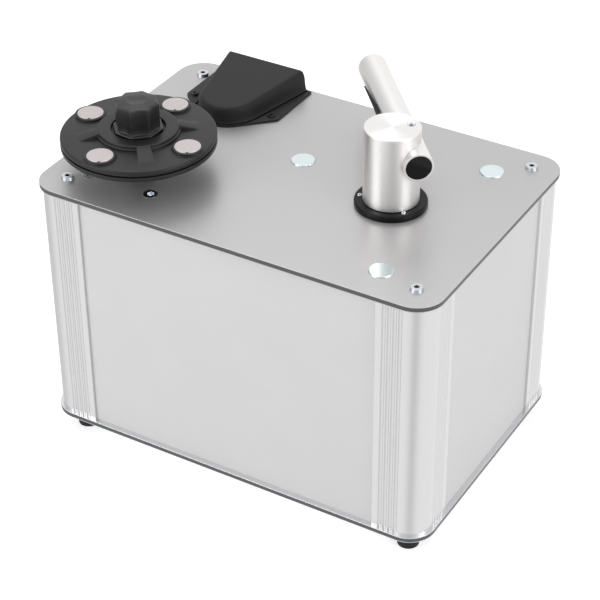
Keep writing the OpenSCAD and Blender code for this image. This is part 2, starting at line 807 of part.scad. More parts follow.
module gearbox_screws() {
  shank = plate_t + gearbox_h + lid_plate_t;
  color("whitesmoke") at_spindle() at_corners(motor_screw_half, motor_screw_half) difference() {
    union() {
      translate([0, 0, top_z - motor_head_h]) cylinder(r1 = motor_screw_r, r2 = motor_head_r, h = motor_head_h);
      translate([0, 0, top_z - shank]) cylinder(r = motor_screw_r, h = shank - motor_head_h / 2);
    }
    translate([0, 0, top_z - 2]) cylinder(r = 2.9, h = 3, $fn = 6);
  }
}

can_r = 15;
can_wall = 1.5;
can_z = gearbox_z - lid_plate_t - platter_motor_h;

module at_motor() { at_spindle() translate([gear_distance, 0, 0]) children(); }

module platter_motor() {
  color("silver") at_motor() translate([0, 0, can_z]) difference() {
    cylinder(r = can_r, h = platter_motor_h);
    translate([0, 0, 3]) cylinder(r = can_r - can_wall, h = platter_motor_h - 6);
    translate([0, 0, -eps]) cylinder(r = shaft_r + fit_gap, h = platter_motor_h + 2 * eps);
  }
}

module motor_rotor() {
  rotor_h = platter_motor_h - 12;
  color("dimgray") at_motor() union() {
    translate([0, 0, can_z + 6]) cylinder(r = can_r - can_wall - 1.5, h = rotor_h);
    translate([0, 0, can_z + 0.5]) cylinder(r = shaft_r, h = gear_z + gear_face - can_z);
  }
}

module motor_pinion() {
  mesh_turn = 180 + 180 / pinion_teeth;
  color("goldenrod") at_motor() translate([0, 0, gear_z]) spur(pinion_teeth, shaft_r + fit_gap, mesh_turn);
}

// Record clamp
seal_t = 1;
seal_in = 7;
rim_t = 1.6;
insert_t = 1.6;
boss_r = insert_r + 1.9;
boss_z = clamp_edge_z + boss_rise;

module clamp_disc() {
  hub_wall = 5;
  bore_r = pin_r + slide_gap;
  rim_low = clamp_z + 0.3;
  step_r = ring_r + 1.4;
  seal_z = clamp_z + seal_t;
  color("#252527") at_spindle() difference() {
    union() {
      rotate_extrude() polygon([
        [0, recess_z], [recess_r, recess_z], [recess_r, ring_z - 0.5], [recess_r + 0.5, ring_z],
        [ring_r - 0.6, ring_z], [ring_r, ring_z - 0.6],
        [ring_r, ring_z - ring_step], [step_r - 0.6, ring_z - ring_step], [step_r, ring_z - ring_step - 0.6],
        [step_r, cone_top_z], [platter_r - 1, clamp_edge_z], [platter_r, clamp_edge_z - 1],
        [platter_r, rim_low], [platter_r - rim_t, rim_low], [platter_r - rim_t, seal_z],
        [platter_r - seal_in - 0.2, seal_z], [platter_r - seal_in - 0.2, clamp_edge_z - clamp_wall + 0.6],
        [recess_r + 3, recess_z - clamp_wall], [bore_r + hub_wall, recess_z - clamp_wall],
        [bore_r + hub_wall, clamp_z + 1], [0, clamp_z + 1]
      ]);
      for (k = [0:3]) rotate([0, 0, insert_angle + 90 * k]) {
        translate([insert_circle_r, 0, clamp_edge_z - 1]) cylinder(r = boss_r, h = boss_rise + 1);
        rotate([0, 0, 45]) rotate([90, 0, 0]) translate([0, 0, -gusset_w / 2]) linear_extrude(gusset_w)
          polygon([[ring_r - 3, ring_z - 0.3], [ring_r, ring_z - 0.3], [gusset_end_r, clamp_edge_z + 0.2],
            [gusset_end_r, clamp_edge_z - 1], [ring_r - 3, clamp_edge_z - 1]]);
      }
    }
    translate([0, 0, clamp_z - eps]) cylinder(r = bore_r, h = ring_z);
    for (k = [0:3]) rotate([0, 0, insert_angle + 90 * k]) translate([insert_circle_r, 0, boss_z - insert_t])
      cylinder(r = insert_r + fit_gap, h = 4 * insert_t);
  }
}

module clamp_inserts() {
  color("white") at_spindle() for (k = [0:3]) rotate([0, 0, insert_angle + 90 * k])
    translate([insert_circle_r, 0, boss_z - insert_t + fit_gap])
    cylinder(r = insert_r, h = insert_t + insert_proud - fit_gap);
}

module clamp_seal() {
  color("#101012") at_spindle() translate([0, 0, clamp_z]) ring(platter_r - rim_t - 0.2, platter_r - seal_in, seal_t);
}

// Round knob with hollow faces on a skirt that has as many sides
knob_turn = insert_angle + 45;
knob_skirt_h = 3.5;
nut_r = 7;
nut_h = pin_top_z - knob_z + 1;

module clamp_knob() {
  face_half = knob_r * sin(180 / knob_faces);
  flat_d = knob_r * cos(180 / knob_faces);
  hollow_half = 0.88 * face_half;
  hollow_r = (pow(hollow_half, 2) + pow(knob_hollow, 2)) / (2 * knob_hollow);
  slope = knob_cone_h / (knob_r - knob_flat_r);
  top = knob_shoulder_z + knob_cone_h;
  grip_z = knob_z + knob_skirt_h;
  color("#2a2a2c") at_spindle() difference() {
    union() {
      translate([0, 0, knob_z]) rotate([0, 0, knob_turn + 180 / knob_faces])
        cylinder(r = recess_r - 1, h = knob_skirt_h, $fn = knob_faces);
      intersection() {
        rotate_extrude() polygon([[0, grip_z - 2], [knob_r + 2, grip_z - 2],
          [knob_r + 2, knob_shoulder_z - 2 * slope], [knob_flat_r, top], [0, top]]);
        difference() {
          translate([0, 0, grip_z - 1]) rotate([0, 0, knob_turn + 180 / knob_faces])
            cylinder(r = knob_r, h = top - grip_z + 2, $fn = knob_faces);
          for (i = [0:knob_faces - 1]) rotate([0, 0, 360 * i / knob_faces + knob_turn])
            translate([flat_d - knob_hollow + hollow_r, 0, grip_z])
            cylinder(r = hollow_r, h = top - grip_z + 3);
        }
      }
    }
    translate([0, 0, knob_z - eps]) cylinder(r = nut_r + fit_gap, h = nut_h + 0.3 + eps);
  }
}

module knob_nut() {
  color("#b98d4f") at_spindle() translate([0, 0, knob_z + 0.1]) difference() {
    cylinder(r = nut_r, h = nut_h);
    translate([0, 0, -eps]) cylinder(r = pin_r + slide_gap, h = nut_h - 0.5 + eps);
  }
}

// Air cover: a scoop on a flange, open to the rear, over the exhaust hole
nose_y = half_d - scoop_len + scoop_nose_r;
mouth_y = half_d - mouth_setback;
flange_tip_r = scoop_nose_r + 1;
flange_tip_y = half_d - flange_len + flange_tip_r;
flange_side_y = half_d - flange_side_len;
scoop_side = atan2(scoop_half_w - scoop_nose_r, mouth_y - nose_y);

function scoop_plan(inset, extra) =
  concat(
    [[scoop_half_w - inset, mouth_y + extra], [-scoop_half_w + inset, mouth_y + extra]],
    arc(0, nose_y, scoop_nose_r - inset, 180 - scoop_side, 360 + scoop_side, 20));

function scoop_top(y) = scoop_nose_h
  + (scoop_h - scoop_nose_h) * (y - nose_y + scoop_nose_r) / (mouth_y - nose_y + scoop_nose_r);

function scoop_ring(inset, extra, drop) =
  [for (p = scoop_plan(inset, extra)) [p[0], p[1], scoop_top(p[1]) - drop]];

function flat_ring(inset, extra, z) = [for (p = scoop_plan(inset, extra)) [p[0], p[1], z]];

module flange_plan() {
  dx = flange_half_w - flange_corner_r;
  dy = flange_side_y - flange_tip_y;
  turn = atan2(dy, dx) - acos((flange_tip_r - flange_corner_r) / norm([dx, dy]));
  polygon(concat(
    [[flange_half_w, mouth_y], [-flange_half_w, mouth_y]],
    arc(-dx, flange_side_y, flange_corner_r, 180, 180 - turn, 6),
    arc(0, flange_tip_y, flange_tip_r, 180 - turn, 360 + turn, 16),
    arc(dx, flange_side_y, flange_corner_r, 360 + turn, 360, 6)));
}

module air_cover() {
  draft = 1.2;
  color("#1d1d1f") translate([cover_x, 0, top_z]) difference() {
    union() {
      linear_extrude(flange_t) flange_plan();
      loft([flat_ring(-2.6, 0, flange_t / 2), flat_ring(-2.6, 0, flange_t), flat_ring(-0.7, 0, flange_t + 0.8),
        flat_ring(0, 0, flange_t + 2.8), scoop_ring(draft, 0, 2.6), scoop_ring(draft + 0.7, 0, 0.8),
        scoop_ring(draft + 2.6, 0, 0)]);
    }
    loft([flat_ring(scoop_wall, 3, -1), flat_ring(scoop_wall, 3, flange_t + 2.8),
      scoop_ring(draft + scoop_wall, 3, scoop_wall + 1.6), scoop_ring(draft + scoop_wall + 1.6, 3, scoop_wall)]);
    for (p = cover_screw_places) translate([p[0], p[1], -eps])
      cylinder(r = cover_screw_r + fit_gap, h = flange_t + 2 * eps);
  }
}

module air_cover_screws() {
  color("#0e0e10") for (p = cover_screw_places) translate([cover_x + p[0], p[1], top_z + flange_t])
    pan_screw(3, 1.8, cover_screw_r, flange_t + plate_t, 1.3);
}

// Collecting tank, hung under the top plate by three bolts
lug_r = 9;
tank_z = lid_z - tank_h;
nipple_r = 11;
hose_wall = 2;
hose_drop = 30;
hose_sleeve = 14;
hose_z = lid_z - hose_drop;
drain_hose_r = drain_r + hose_wall;
spout_bore_r = drain_r - 0.6;

module tank_lid() {
  rim_r = tank_r + 3;
  rim_in_r = tank_r - 5;
  lid_top_z = lid_z + lid_t;
  rim_top_z = lid_top_z + tank_gasket;
  hole_r = pipe_r + fit_gap;
  bolt_hole_r = tank_bolt_r + screw_gap;
  lug_arm_half = lug_r - 2;
  color("dimgray") at_column() difference() {
    union() {
      rotate_extrude() polygon([[hole_r, lid_z], [rim_r, lid_z], [rim_r, rim_top_z], [rim_in_r, rim_top_z],
        [rim_in_r, lid_top_z], [hole_r, lid_top_z]]);
      for (p = tank_bolt_places) {
        translate([p[0], p[1], lid_z]) cylinder(r = lug_r, h = lid_t);
        translate([p[0], p[1], lid_z + 1]) cylinder(r = lug_r - 1.6, h = lid_t + tank_gasket - 1);
        rotate([0, 0, atan2(p[1], p[0])]) translate([tank_r, -lug_arm_half, lid_z])
          cube([norm(p) - bolt_hole_r - 0.7 - tank_r, 2 * lug_arm_half, lid_t]);
      }
    }
    for (p = tank_bolt_places) translate([p[0], p[1], lid_z - eps])
      cylinder(r = bolt_hole_r, h = lid_t + tank_gasket + 2 * eps);
  }
}

module tank() {
  color("whitesmoke") difference() {
    union() {
      at_column() translate([0, 0, tank_z]) cylinder(r = tank_r, h = tank_h);
      translate([fan_x + bend_r, fan_y, hose_z]) rotate([0, 90, 0])
        cylinder(r = nipple_r, h = column_x - fan_x - bend_r - tank_r / 2);
      translate([column_x, column_y, drain_z]) rotate([-90, 0, 0])
        cylinder(r = drain_r + hose_wall, h = tank_r + 8);
    }
    at_column() translate([0, 0, tank_z + tank_wall]) cylinder(r = tank_r - tank_wall, h = tank_h);
    translate([fan_x + bend_r - eps, fan_y, hose_z]) rotate([0, 90, 0])
      cylinder(r = nipple_r - hose_wall, h = column_x - fan_x - bend_r);
    translate([column_x, column_y, drain_z]) rotate([-90, 0, 0])
      cylinder(r = spout_bore_r, h = tank_r + 9);
  }
}

module tank_bolts() {
  head_r = 9.25;
  head_h = 1.1;
  shank = plate_t + tank_gasket + lid_t + 9;
  color("whitesmoke") at_column() for (p = tank_bolt_places) translate([p[0], p[1], top_z]) union() {
    cylinder(r1 = head_r, r2 = head_r - 0.5, h = head_h);
    translate([0, 0, -shank]) cylinder(r = tank_bolt_r, h = shank + eps);
  }
}

module tank_nuts() {
  nut_t = 6.5;
  color("silver") at_column() for (p = tank_bolt_places) translate([p[0], p[1], lid_z - nut_t]) difference() {
    cylinder(r = 7.5, h = nut_t, $fn = 6);
    translate([0, 0, -eps]) cylinder(r = tank_bolt_r + fit_gap, h = nut_t + 2 * eps);
  }
}

// Vacuum motor and fan beside the tank
mount_h = 6;
vacuum_z = floor_top_z + mount_h;
fan_z = vacuum_z + vacuum_can_h;
bend_r = 30;
hub_intake_r = nipple_r;
intake_collar = 5;
exhaust_turn = atan2(exhaust_y - fan_y, cover_x - fan_x);
exhaust_distance = norm([exhaust_y - fan_y, cover_x - fan_x]);
exhaust_bend = 20;
exhaust_z = fan_z + fan_h / 2;

module at_fan() { translate([fan_x, fan_y, 0]) children(); }

module fan_housing() {
  wall = 2.5;
  color("dimgray") at_fan() translate([0, 0, fan_z]) difference() {
    union() {
      cylinder(r = fan_r, h = fan_h);
      cylinder(r = hub_intake_r + hose_wall, h = fan_h + intake_collar);
      rotate([0, 0, exhaust_turn]) translate([fan_r - 8, 0, fan_h / 2]) rotate([0, 90, 0])
        cylinder(r = exhaust_r, h = exhaust_distance - exhaust_bend - fan_r + 8);
    }
    translate([0, 0, wall]) cylinder(r = fan_r - wall, h = fan_h - 2 * wall);
    translate([0, 0, wall]) cylinder(r = hub_intake_r, h = fan_h + intake_collar);
    translate([0, 0, -eps]) cylinder(r = 4 + fit_gap, h = fan_h);
    rotate([0, 0, exhaust_turn]) translate([fan_r - 12, 0, fan_h / 2]) rotate([0, 90, 0])
      cylinder(r = exhaust_r - hose_wall, h = exhaust_distance);
  }
}

module vacuum_motor() {
  color("gray") at_fan() difference() {
    union() {
      translate([0, 0, vacuum_z]) cylinder(r = vacuum_can_r, h = vacuum_can_h);
      translate([0, 0, floor_top_z]) ring(vacuum_can_r - 2, vacuum_can_r - 10, mount_h + eps);
    }
    translate([0, 0, vacuum_z + 3]) cylinder(r = vacuum_can_r - 2.5, h = vacuum_can_h - 6);
    translate([0, 0, vacuum_z - eps]) cylinder(r = 4 + fit_gap, h = vacuum_can_h + 2 * eps);
  }
}

module impeller() {
  wheel_r = fan_r - 8;
  wheel_z = fan_z + 10;
  blade_h = 18;
  color("silver") at_fan() union() {
    translate([0, 0, vacuum_z + 0.5]) cylinder(r = 4, h = wheel_z - vacuum_z + 4);
    translate([0, 0, vacuum_z + 10]) cylinder(r = vacuum_can_r - 8, h = vacuum_can_h - 20);
    translate([0, 0, wheel_z]) cylinder(r = wheel_r, h = 2);
    for (k = [0:blade_count - 1]) rotate([0, 0, 360 * k / blade_count]) translate([hub_intake_r + 3, -1, wheel_z + 1])
      cube([wheel_r - hub_intake_r - 4, 2, blade_h]);
  }
}

// A hose of two straight ends and a quarter bend, from the X axis down along -Z or up along +Z
module bent_hose(r_out, r_in, bend, run) {
  translate([0, bend, 0]) rotate([0, 90, 0]) rotate([0, 0, 180]) rotate_extrude(angle = 90)
    translate([bend, 0]) difference() { circle(r_out); circle(r_in); }
  translate([0, bend, bend]) rotate([-90, 0, 0]) ring(r_out, r_in, run);
}

module vacuum_hose() {
  sleeve = 0.3;
  hose_r = nipple_r + hose_wall;
  drop = hose_z - bend_r - fan_z - fan_h - intake_collar;
  color("#2c2c2e") translate([fan_x, fan_y, 0]) union() {
    translate([bend_r, 0, hose_z - bend_r]) rotate([90, 0, 0]) rotate([0, 0, 90]) rotate_extrude(angle = 90)
      translate([bend_r, 0]) difference() { circle(hose_r); circle(nipple_r + fit_gap); }
    translate([0, 0, hose_z - bend_r - drop]) ring(hose_r, nipple_r + fit_gap, drop);
    translate([bend_r, 0, hose_z]) rotate([0, 90, 0]) ring(hose_r, nipple_r + fit_gap, hose_sleeve);
  }
}

module exhaust_hose() {
  hose_r = exhaust_r;
  rise = deck_z + plate_t - exhaust_z - exhaust_bend;
  color("#2c2c2e") at_fan() rotate([0, 0, exhaust_turn]) union() {
    translate([exhaust_distance - exhaust_bend, 0, exhaust_z + exhaust_bend]) rotate([90, 0, 0])
      rotate([0, 0, -90]) rotate_extrude(angle = 90) translate([exhaust_bend, 0]) difference() {
        circle(hose_r);
        circle(hose_r - hose_wall);
      }
    translate([exhaust_distance, 0, exhaust_z + exhaust_bend]) ring(hose_r, hose_r - hose_wall, rise);
    translate([exhaust_distance, 0, deck_z - 3]) ring(hose_r + 4, hose_r - 1, 3);
  }
}

drain_inner_y = panel_face_y - panel_t - 10;

module drain_hose() {
  start = column_y + tank_r + 1;
  color("#2c2c2e") translate([column_x, start, drain_z]) rotate([-90, 0, 0])
    ring(drain_hose_r + hose_wall, drain_hose_r + fit_gap, drain_inner_y - start - fit_gap);
}

module drain_socket() {
  outer = panel_face_y + 3;
  color("#17171a") translate([column_x, drain_inner_y, drain_z]) rotate([-90, 0, 0]) difference() {
    union() {
      cylinder(r = drain_outer_r, h = outer - drain_inner_y);
      translate([0, 0, panel_face_y + fit_gap - drain_inner_y]) cylinder(r = drain_outer_r + 3, h = 3 - fit_gap);
    }
    translate([0, 0, -eps]) cylinder(r = drain_r, h = outer - drain_inner_y + 2 * eps);
  }
}

// Mains inlet and rocker switches
module mains_inlet() {
  flange_w = 48;
  flange_h = 27;
  cavity_w = 24;
  cavity_h = 16;
  cavity_depth = 17;
  color("#151517") translate([inlet_x, panel_face_y + 2.5, inlet_z]) difference() {
    union() {
      translate([-inlet_body_w / 2, -inlet_depth - 2.5, -inlet_body_h / 2])
        cube([inlet_body_w, inlet_depth + 2.5, inlet_body_h]);
      translate([-flange_w / 2, -2.5 + fit_gap, -flange_h / 2]) cube([flange_w, 2.5 - fit_gap, flange_h]);
    }
    difference() {
      translate([-cavity_w / 2, -cavity_depth, -cavity_h / 2]) cube([cavity_w, cavity_depth + eps, cavity_h]);
      for (i = [-1:1]) translate([i * 7 - 1, -cavity_depth - eps, -2 + (i == 0 ? 3.5 : 0)])
        cube([2, cavity_depth - 4, 4]);
    }
  }
}

rocker_pivot = 4;
rocker_r = 8.2;

module at_switch(y) {
  translate([-panel_face_x, y, switch_z]) rotate([0, 0, 180]) children();
}

module switch_frames() {
  frame_t = 2;
  color("#151517") for (y = switch_y) at_switch(y) difference() {
    union() {
      translate([-switch_depth, -switch_body_w / 2, -switch_body_h / 2])
        cube([switch_depth, switch_body_w, switch_body_h]);
      translate([fit_gap, -switch_body_w / 2 - 2, -switch_body_h / 2 - 2])
        cube([frame_t, switch_body_w + 4, switch_body_h + 4]);
    }
    translate([-rocker_pivot, 0, 0]) rotate([90, 0, 0]) cylinder(r = rocker_r + 0.3, h = 10.6, center = true);
    translate([-rocker_pivot, -5.3, -rocker_r - 0.3]) cube([rocker_pivot + 6, 10.6, 2 * rocker_r + 0.6]);
    translate([-rocker_pivot, 0, 0]) rotate([90, 0, 0]) cylinder(r = 1 + fit_gap, h = 12.4, center = true);
  }
}

// A rocker: two slightly tilted faces over a round belly that turns about its pins
module rocker(y, tilt, hue) {
  face = 5.6;
  color(hue) at_switch(y) translate([-rocker_pivot, 0, 0]) rotate([0, tilt, 0]) union() {
    rotate([90, 0, 0]) translate([0, 0, -5]) linear_extrude(10) intersection() {
      circle(rocker_r);
      polygon([[-3, -rocker_r], [face + 1.2, -rocker_r], [face, 0], [face + 1.2, rocker_r], [-3, rocker_r]]);
    }
    rotate([90, 0, 0]) cylinder(r = 1, h = 12, center = true);
  }
}

module vacuum_rocker() { rocker(switch_y[0], 8, "#2a2a2c"); }
module direction_rocker() { rocker(switch_y[1], 0, "#2a2a2c"); }

bottom_plate();
top_plate();
post_front_left();
post_front_right();
post_rear_left();
post_rear_right();
front_panel();
rear_panel();
left_panel();
right_panel();
top_screws();
foot_screws();
feet();
foot_washers();
column_collar();
collar_screws();
suction_pipe();
lift_spring();
column_bush();
arm_column();
arm_tube();
arm_cap();
arm_tip_plug();
lip_pad();
velvet_strips();
arm_set_screw();
platter();
platter_mat();
spindle();
spindle_clip();
spindle_bush();
drive_gear();
gearbox();
gearbox_lid();
gearbox_screws();
platter_motor();
motor_rotor();
motor_pinion();
clamp_disc();
clamp_inserts();
clamp_seal();
clamp_knob();
knob_nut();
air_cover();
air_cover_screws();
tank();
tank_lid();
tank_bolts();
tank_nuts();
vacuum_hose();
exhaust_hose();
drain_hose();
drain_socket();
fan_housing();
vacuum_motor();
impeller();
mains_inlet();
switch_frames();
vacuum_rocker();
direction_rocker();
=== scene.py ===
"""Looks of a record cleaning machine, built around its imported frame.

Lengths are in metres, in the frame's own axes: X along the long side, Y to the rear, Z up.
New pieces are surfaces worked out as arrays: a profile turned about an axis, a stack of
rings around a plan, or a circle carried along a path.
"""

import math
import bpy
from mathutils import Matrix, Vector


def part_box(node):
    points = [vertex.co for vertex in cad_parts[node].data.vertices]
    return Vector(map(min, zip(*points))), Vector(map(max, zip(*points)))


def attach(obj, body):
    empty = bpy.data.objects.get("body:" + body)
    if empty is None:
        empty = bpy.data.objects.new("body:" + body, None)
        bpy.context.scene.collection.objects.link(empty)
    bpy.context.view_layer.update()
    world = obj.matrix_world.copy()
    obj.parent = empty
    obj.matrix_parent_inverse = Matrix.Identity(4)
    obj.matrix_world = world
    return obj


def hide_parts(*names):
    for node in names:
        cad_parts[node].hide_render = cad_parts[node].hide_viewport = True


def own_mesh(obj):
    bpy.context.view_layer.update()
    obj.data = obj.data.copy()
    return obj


bl_info = {
    "name": "Record Cleaning Machine",
    "version": (1, 0, 0),
    "blender": (4, 5, 0),
    "location": "3D View > Sidebar > Cleaner",
    "description": "Clamp, knob, air cover, soft pieces and finishes of a record cleaning machine",
    "category": "Object",
}

import bmesh
import bpy
import numpy as np
from bpy.props import FloatProperty, FloatVectorProperty, PointerProperty
from mathutils import Matrix, Vector

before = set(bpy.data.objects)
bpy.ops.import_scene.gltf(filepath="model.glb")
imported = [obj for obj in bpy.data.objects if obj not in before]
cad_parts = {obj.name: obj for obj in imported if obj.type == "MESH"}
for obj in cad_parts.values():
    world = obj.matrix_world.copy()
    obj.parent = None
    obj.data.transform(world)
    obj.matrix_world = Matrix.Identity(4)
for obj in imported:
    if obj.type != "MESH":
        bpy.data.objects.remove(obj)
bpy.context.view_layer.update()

MM = 0.001


def centre(node):
    """Middle of a node's box."""
    low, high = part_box(node)
    return (low + high) / 2


# Levels and centres that come from the frame
plate_low, plate_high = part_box("top_plate")
deck = plate_high.z
spindle_x, spindle_y = centre("spindle").x, centre("spindle").y
column_x, column_y = centre("arm_column").x, centre("arm_column").y


def linear(red, green, blue):
    """Linear colour of a screen colour given as three numbers to 255."""
    c = np.array([red, green, blue]) / 255
    return tuple(np.where(c <= 0.04045, c / 12.92, ((c + 0.055) / 1.055) ** 2.4).tolist())


# Surfaces

def soften(corners, steps=5):
    """Polyline through corners (x, y, cut): each corner is replaced by a parabola arc from the point
    cut before it to the point cut after it, (1-t)^2 A + 2t(1-t) C + t^2 B. Any further columns follow."""
    c = np.array(corners, float)
    p, cut = np.delete(c, 2, axis=1), c[:, 2:3]
    back, ahead = np.roll(p, 1, axis=0) - p, np.roll(p, -1, axis=0) - p
    back[0], ahead[-1] = 0, 0

    def reach(d):
        length = np.linalg.norm(d[:, :2], axis=1, keepdims=True)
        return p + d * np.minimum(cut / np.maximum(length, 1e-12), 0.5)

    a, b = reach(back), reach(ahead)
    t = np.linspace(0, 1, steps)[None, :, None]
    arcs = (1 - t) ** 2 * a[:, None] + 2 * t * (1 - t) * p[:, None] + t ** 2 * b[:, None]
    return arcs.reshape(-1, p.shape[1])


def grid_faces(rows, cols, close_rows=False, close_cols=True):
    """Quads that join each point of a grid to its neighbours; a closed direction joins its last line to its first."""
    i, j = np.meshgrid(np.arange(rows if close_rows else rows - 1),
                       np.arange(cols if close_cols else cols - 1), indexing="ij")
    i2, j2 = (i + 1) % rows, (j + 1) % cols
    return np.stack([i * cols + j, i * cols + j2, i2 * cols + j2, i2 * cols + j], -1).reshape(-1, 4)


def turned(profile, x, y, segments=96, closed=False):
    """Profile (r, z) turned about a vertical axis: (x + r cos a, y + r sin a, z)."""
    a = np.linspace(0, 2 * np.pi, segments, endpoint=False)
    r, z = profile[:, :1], profile[:, 1:2]
    points = np.stack([x + r * np.cos(a), y + r * np.sin(a), z + 0 * a], -1)
    return points.reshape(-1, 3), grid_faces(len(profile), segments, close_rows=closed)


def swept(path, radius, sides=24, closed_ends=True):
    """Circle of the given radius carried along a path: centre + radius (cos b N + sin b B), where N and B
    are the path's normals, found from a fixed helper direction. Ends are drawn to their centres."""
    tangent = np.gradient(path, axis=0)
    tangent /= np.linalg.norm(tangent, axis=1, keepdims=True)
    spread = path.max(0) - path.min(0)
    helper = np.eye(3)[int(np.argmin(spread))]
    normal = np.cross(tangent, helper)
    normal /= np.linalg.norm(normal, axis=1, keepdims=True)
    other = np.cross(tangent, normal)
    b = np.linspace(0, 2 * np.pi, sides, endpoint=False)[None, :, None]
    r = np.broadcast_to(np.asarray(radius, float).reshape(-1, 1, 1), (len(path), 1, 1))
    rings = path[:, None] + r * (np.cos(b) * normal[:, None] + np.sin(b) * other[:, None])
    if closed_ends:
        rings = np.concatenate([np.repeat(path[:1, None], sides, 1), rings, np.repeat(path[-1:, None], sides, 1)])
    return rings.reshape(-1, 3), grid_faces(len(rings), sides)


def add_piece(name, shells, material, body, stands_for=(), sharp=38):
    """Joins shells, each a pair of points and quads, into one object at the origin that rides on a body."""
    points, faces, start = [], [], 0
    for shell_points, shell_faces in shells:
        points.append(shell_points)
        faces.append(shell_faces + start)
        start += len(shell_points)
    mesh = bpy.data.meshes.new(name)
    mesh.from_pydata(np.concatenate(points).tolist(), [], np.concatenate(faces).tolist())
    work = bmesh.new()
    work.from_mesh(mesh)
    bmesh.ops.remove_doubles(work, verts=work.verts, dist=2e-6)
    bmesh.ops.dissolve_degenerate(work, dist=1e-7, edges=work.edges)
    bmesh.ops.recalc_face_normals(work, faces=work.faces)
    work.to_mesh(mesh)
    work.free()
    mesh.shade_smooth()
    mesh.set_sharp_from_angle(angle=math.radians(sharp))
    mesh.materials.append(material)
    piece = bpy.data.objects.new(name, mesh)
    bpy.context.scene.collection.objects.link(piece)
    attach(piece, body)
    if stands_for:
        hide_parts(*stands_for)
    return piece


# Shader groups

def new_group(name, inputs, outputs):
    """An empty shader group with float inputs (name, value), a Vector input and float or vector outputs."""
    group = bpy.data.node_groups.new(name, "ShaderNodeTree")
    group.interface.new_socket("Vector", in_out="INPUT", socket_type="NodeSocketVector")
    for title, value in inputs:
        socket = group.interface.new_socket(title, in_out="INPUT", socket_type="NodeSocketFloat")
        socket.default_value = value
    for title, kind in outputs:
        group.interface.new_socket(title, in_out="OUTPUT", socket_type=kind)
    return group, group.nodes.new("NodeGroupInput"), group.nodes.new("NodeGroupOutput")


def add_node(tree, kind, links=(), **values):
    """Adds a node, sets its properties, and joins (input, socket) pairs."""
    node = tree.nodes.new(kind)
    for key, value in values.items():
        setattr(node, key, value)
    for target, source in links:
        if hasattr(source, "is_output"):
            tree.links.new(source, node.inputs[target])
        else:
            node.inputs[target].default_value = source
    return node


def math_node(tree, operation, a, b=0.0, clamp=False):
    """Output of a Math node on two values or sockets."""
    return add_node(tree, "ShaderNodeMath", [(0, a), (1, b)], operation=operation, use_clamp=clamp).outputs[0]


def build_grain_group():
    """Cloudy tone and fine grain: Tone is 1 plus noise, Grain is fine noise from 0 to 1."""
    group, inside, outside = new_group(
        "surface_grain",
        [("Cloud Scale", 12.0), ("Cloud Amount", 0.05), ("Grain Scale", 900.0), ("Grain Amount", 0.04)],
        [("Tone", "NodeSocketFloat"), ("Grain", "NodeSocketFloat")])
    vector = inside.outputs["Vector"]
    cloud = add_node(group, "ShaderNodeTexNoise", [("Vector", vector), ("Scale", inside.outputs["Cloud Scale"]),
                                                  ("Detail", 4.0), ("Roughness", 0.55)])
    grain = add_node(group, "ShaderNodeTexNoise", [("Vector", vector), ("Scale", inside.outputs["Grain Scale"]),
                                                  ("Detail", 2.0), ("Roughness", 0.6)])
    cloud_part = math_node(group, "MULTIPLY", math_node(group, "SUBTRACT", cloud.outputs[0], 0.5),
                           inside.outputs["Cloud Amount"])
    grain_part = math_node(group, "MULTIPLY", math_node(group, "SUBTRACT", grain.outputs[0], 0.5),
                           inside.outputs["Grain Amount"])
    tone = math_node(group, "ADD", math_node(group, "MULTIPLY", cloud_part, 2.0),
                     math_node(group, "MULTIPLY", grain_part, 2.0))
    group.links.new(math_node(group, "ADD", tone, 1.0), outside.inputs["Tone"])
    group.links.new(grain.outputs[0], outside.inputs["Grain"])
    return group


def build_edge_group():
    """Softened edges: Normal leans over within Radius of an edge, Edge is 1 where it leans most and masks the painted
    edge highlight.
    """
    group, inside, outside = new_group("soft_edge", [("Radius", 0.0005)],
                                       [("Normal", "NodeSocketVector"), ("Edge", "NodeSocketFloat")])
    bevel = add_node(group, "ShaderNodeBevel", [("Radius", inside.outputs["Radius"])], samples=6)
    flat = add_node(group, "ShaderNodeNewGeometry")
    lean = add_node(group, "ShaderNodeVectorMath", [(0, bevel.outputs[0]), (1, flat.outputs["True Normal"])],
                    operation="DOT_PRODUCT")
    edge = math_node(group, "MULTIPLY", math_node(group, "SUBTRACT", 1.0, lean.outputs["Value"]), 3.0, clamp=True)
    group.links.new(bevel.outputs[0], outside.inputs["Normal"])
    group.links.new(edge, outside.inputs["Edge"])
    return group


def build_turning_group():
    """Tool marks: a wave along the axis given by Vector's X, broken up by noise, from 0 to 1."""
    group, inside, outside = new_group("turning_marks", [("Pitch", 0.0004), ("Break", 0.4)],
                                       [("Mark", "NodeSocketFloat")])
    split = add_node(group, "ShaderNodeSeparateXYZ", [(0, inside.outputs["Vector"])])
    turns = math_node(group, "DIVIDE", split.outputs[0], inside.outputs["Pitch"])
    noise = add_node(group, "ShaderNodeTexNoise", [("W", turns), ("Scale", 0.37), ("Detail", 3.0)],
                     noise_dimensions="1D")
    wave = math_node(group, "SINE", math_node(group, "MULTIPLY", turns, 2 * math.pi))
    wave = math_node(group, "ADD", math_node(group, "MULTIPLY", wave, 0.25), 0.5)
    mark = add_node(group, "ShaderNodeMix", [(0, inside.outputs["Break"]), (2, wave), (3, noise.outputs[0])])
    group.links.new(mark.outputs[0], outside.inputs["Mark"])
    return group


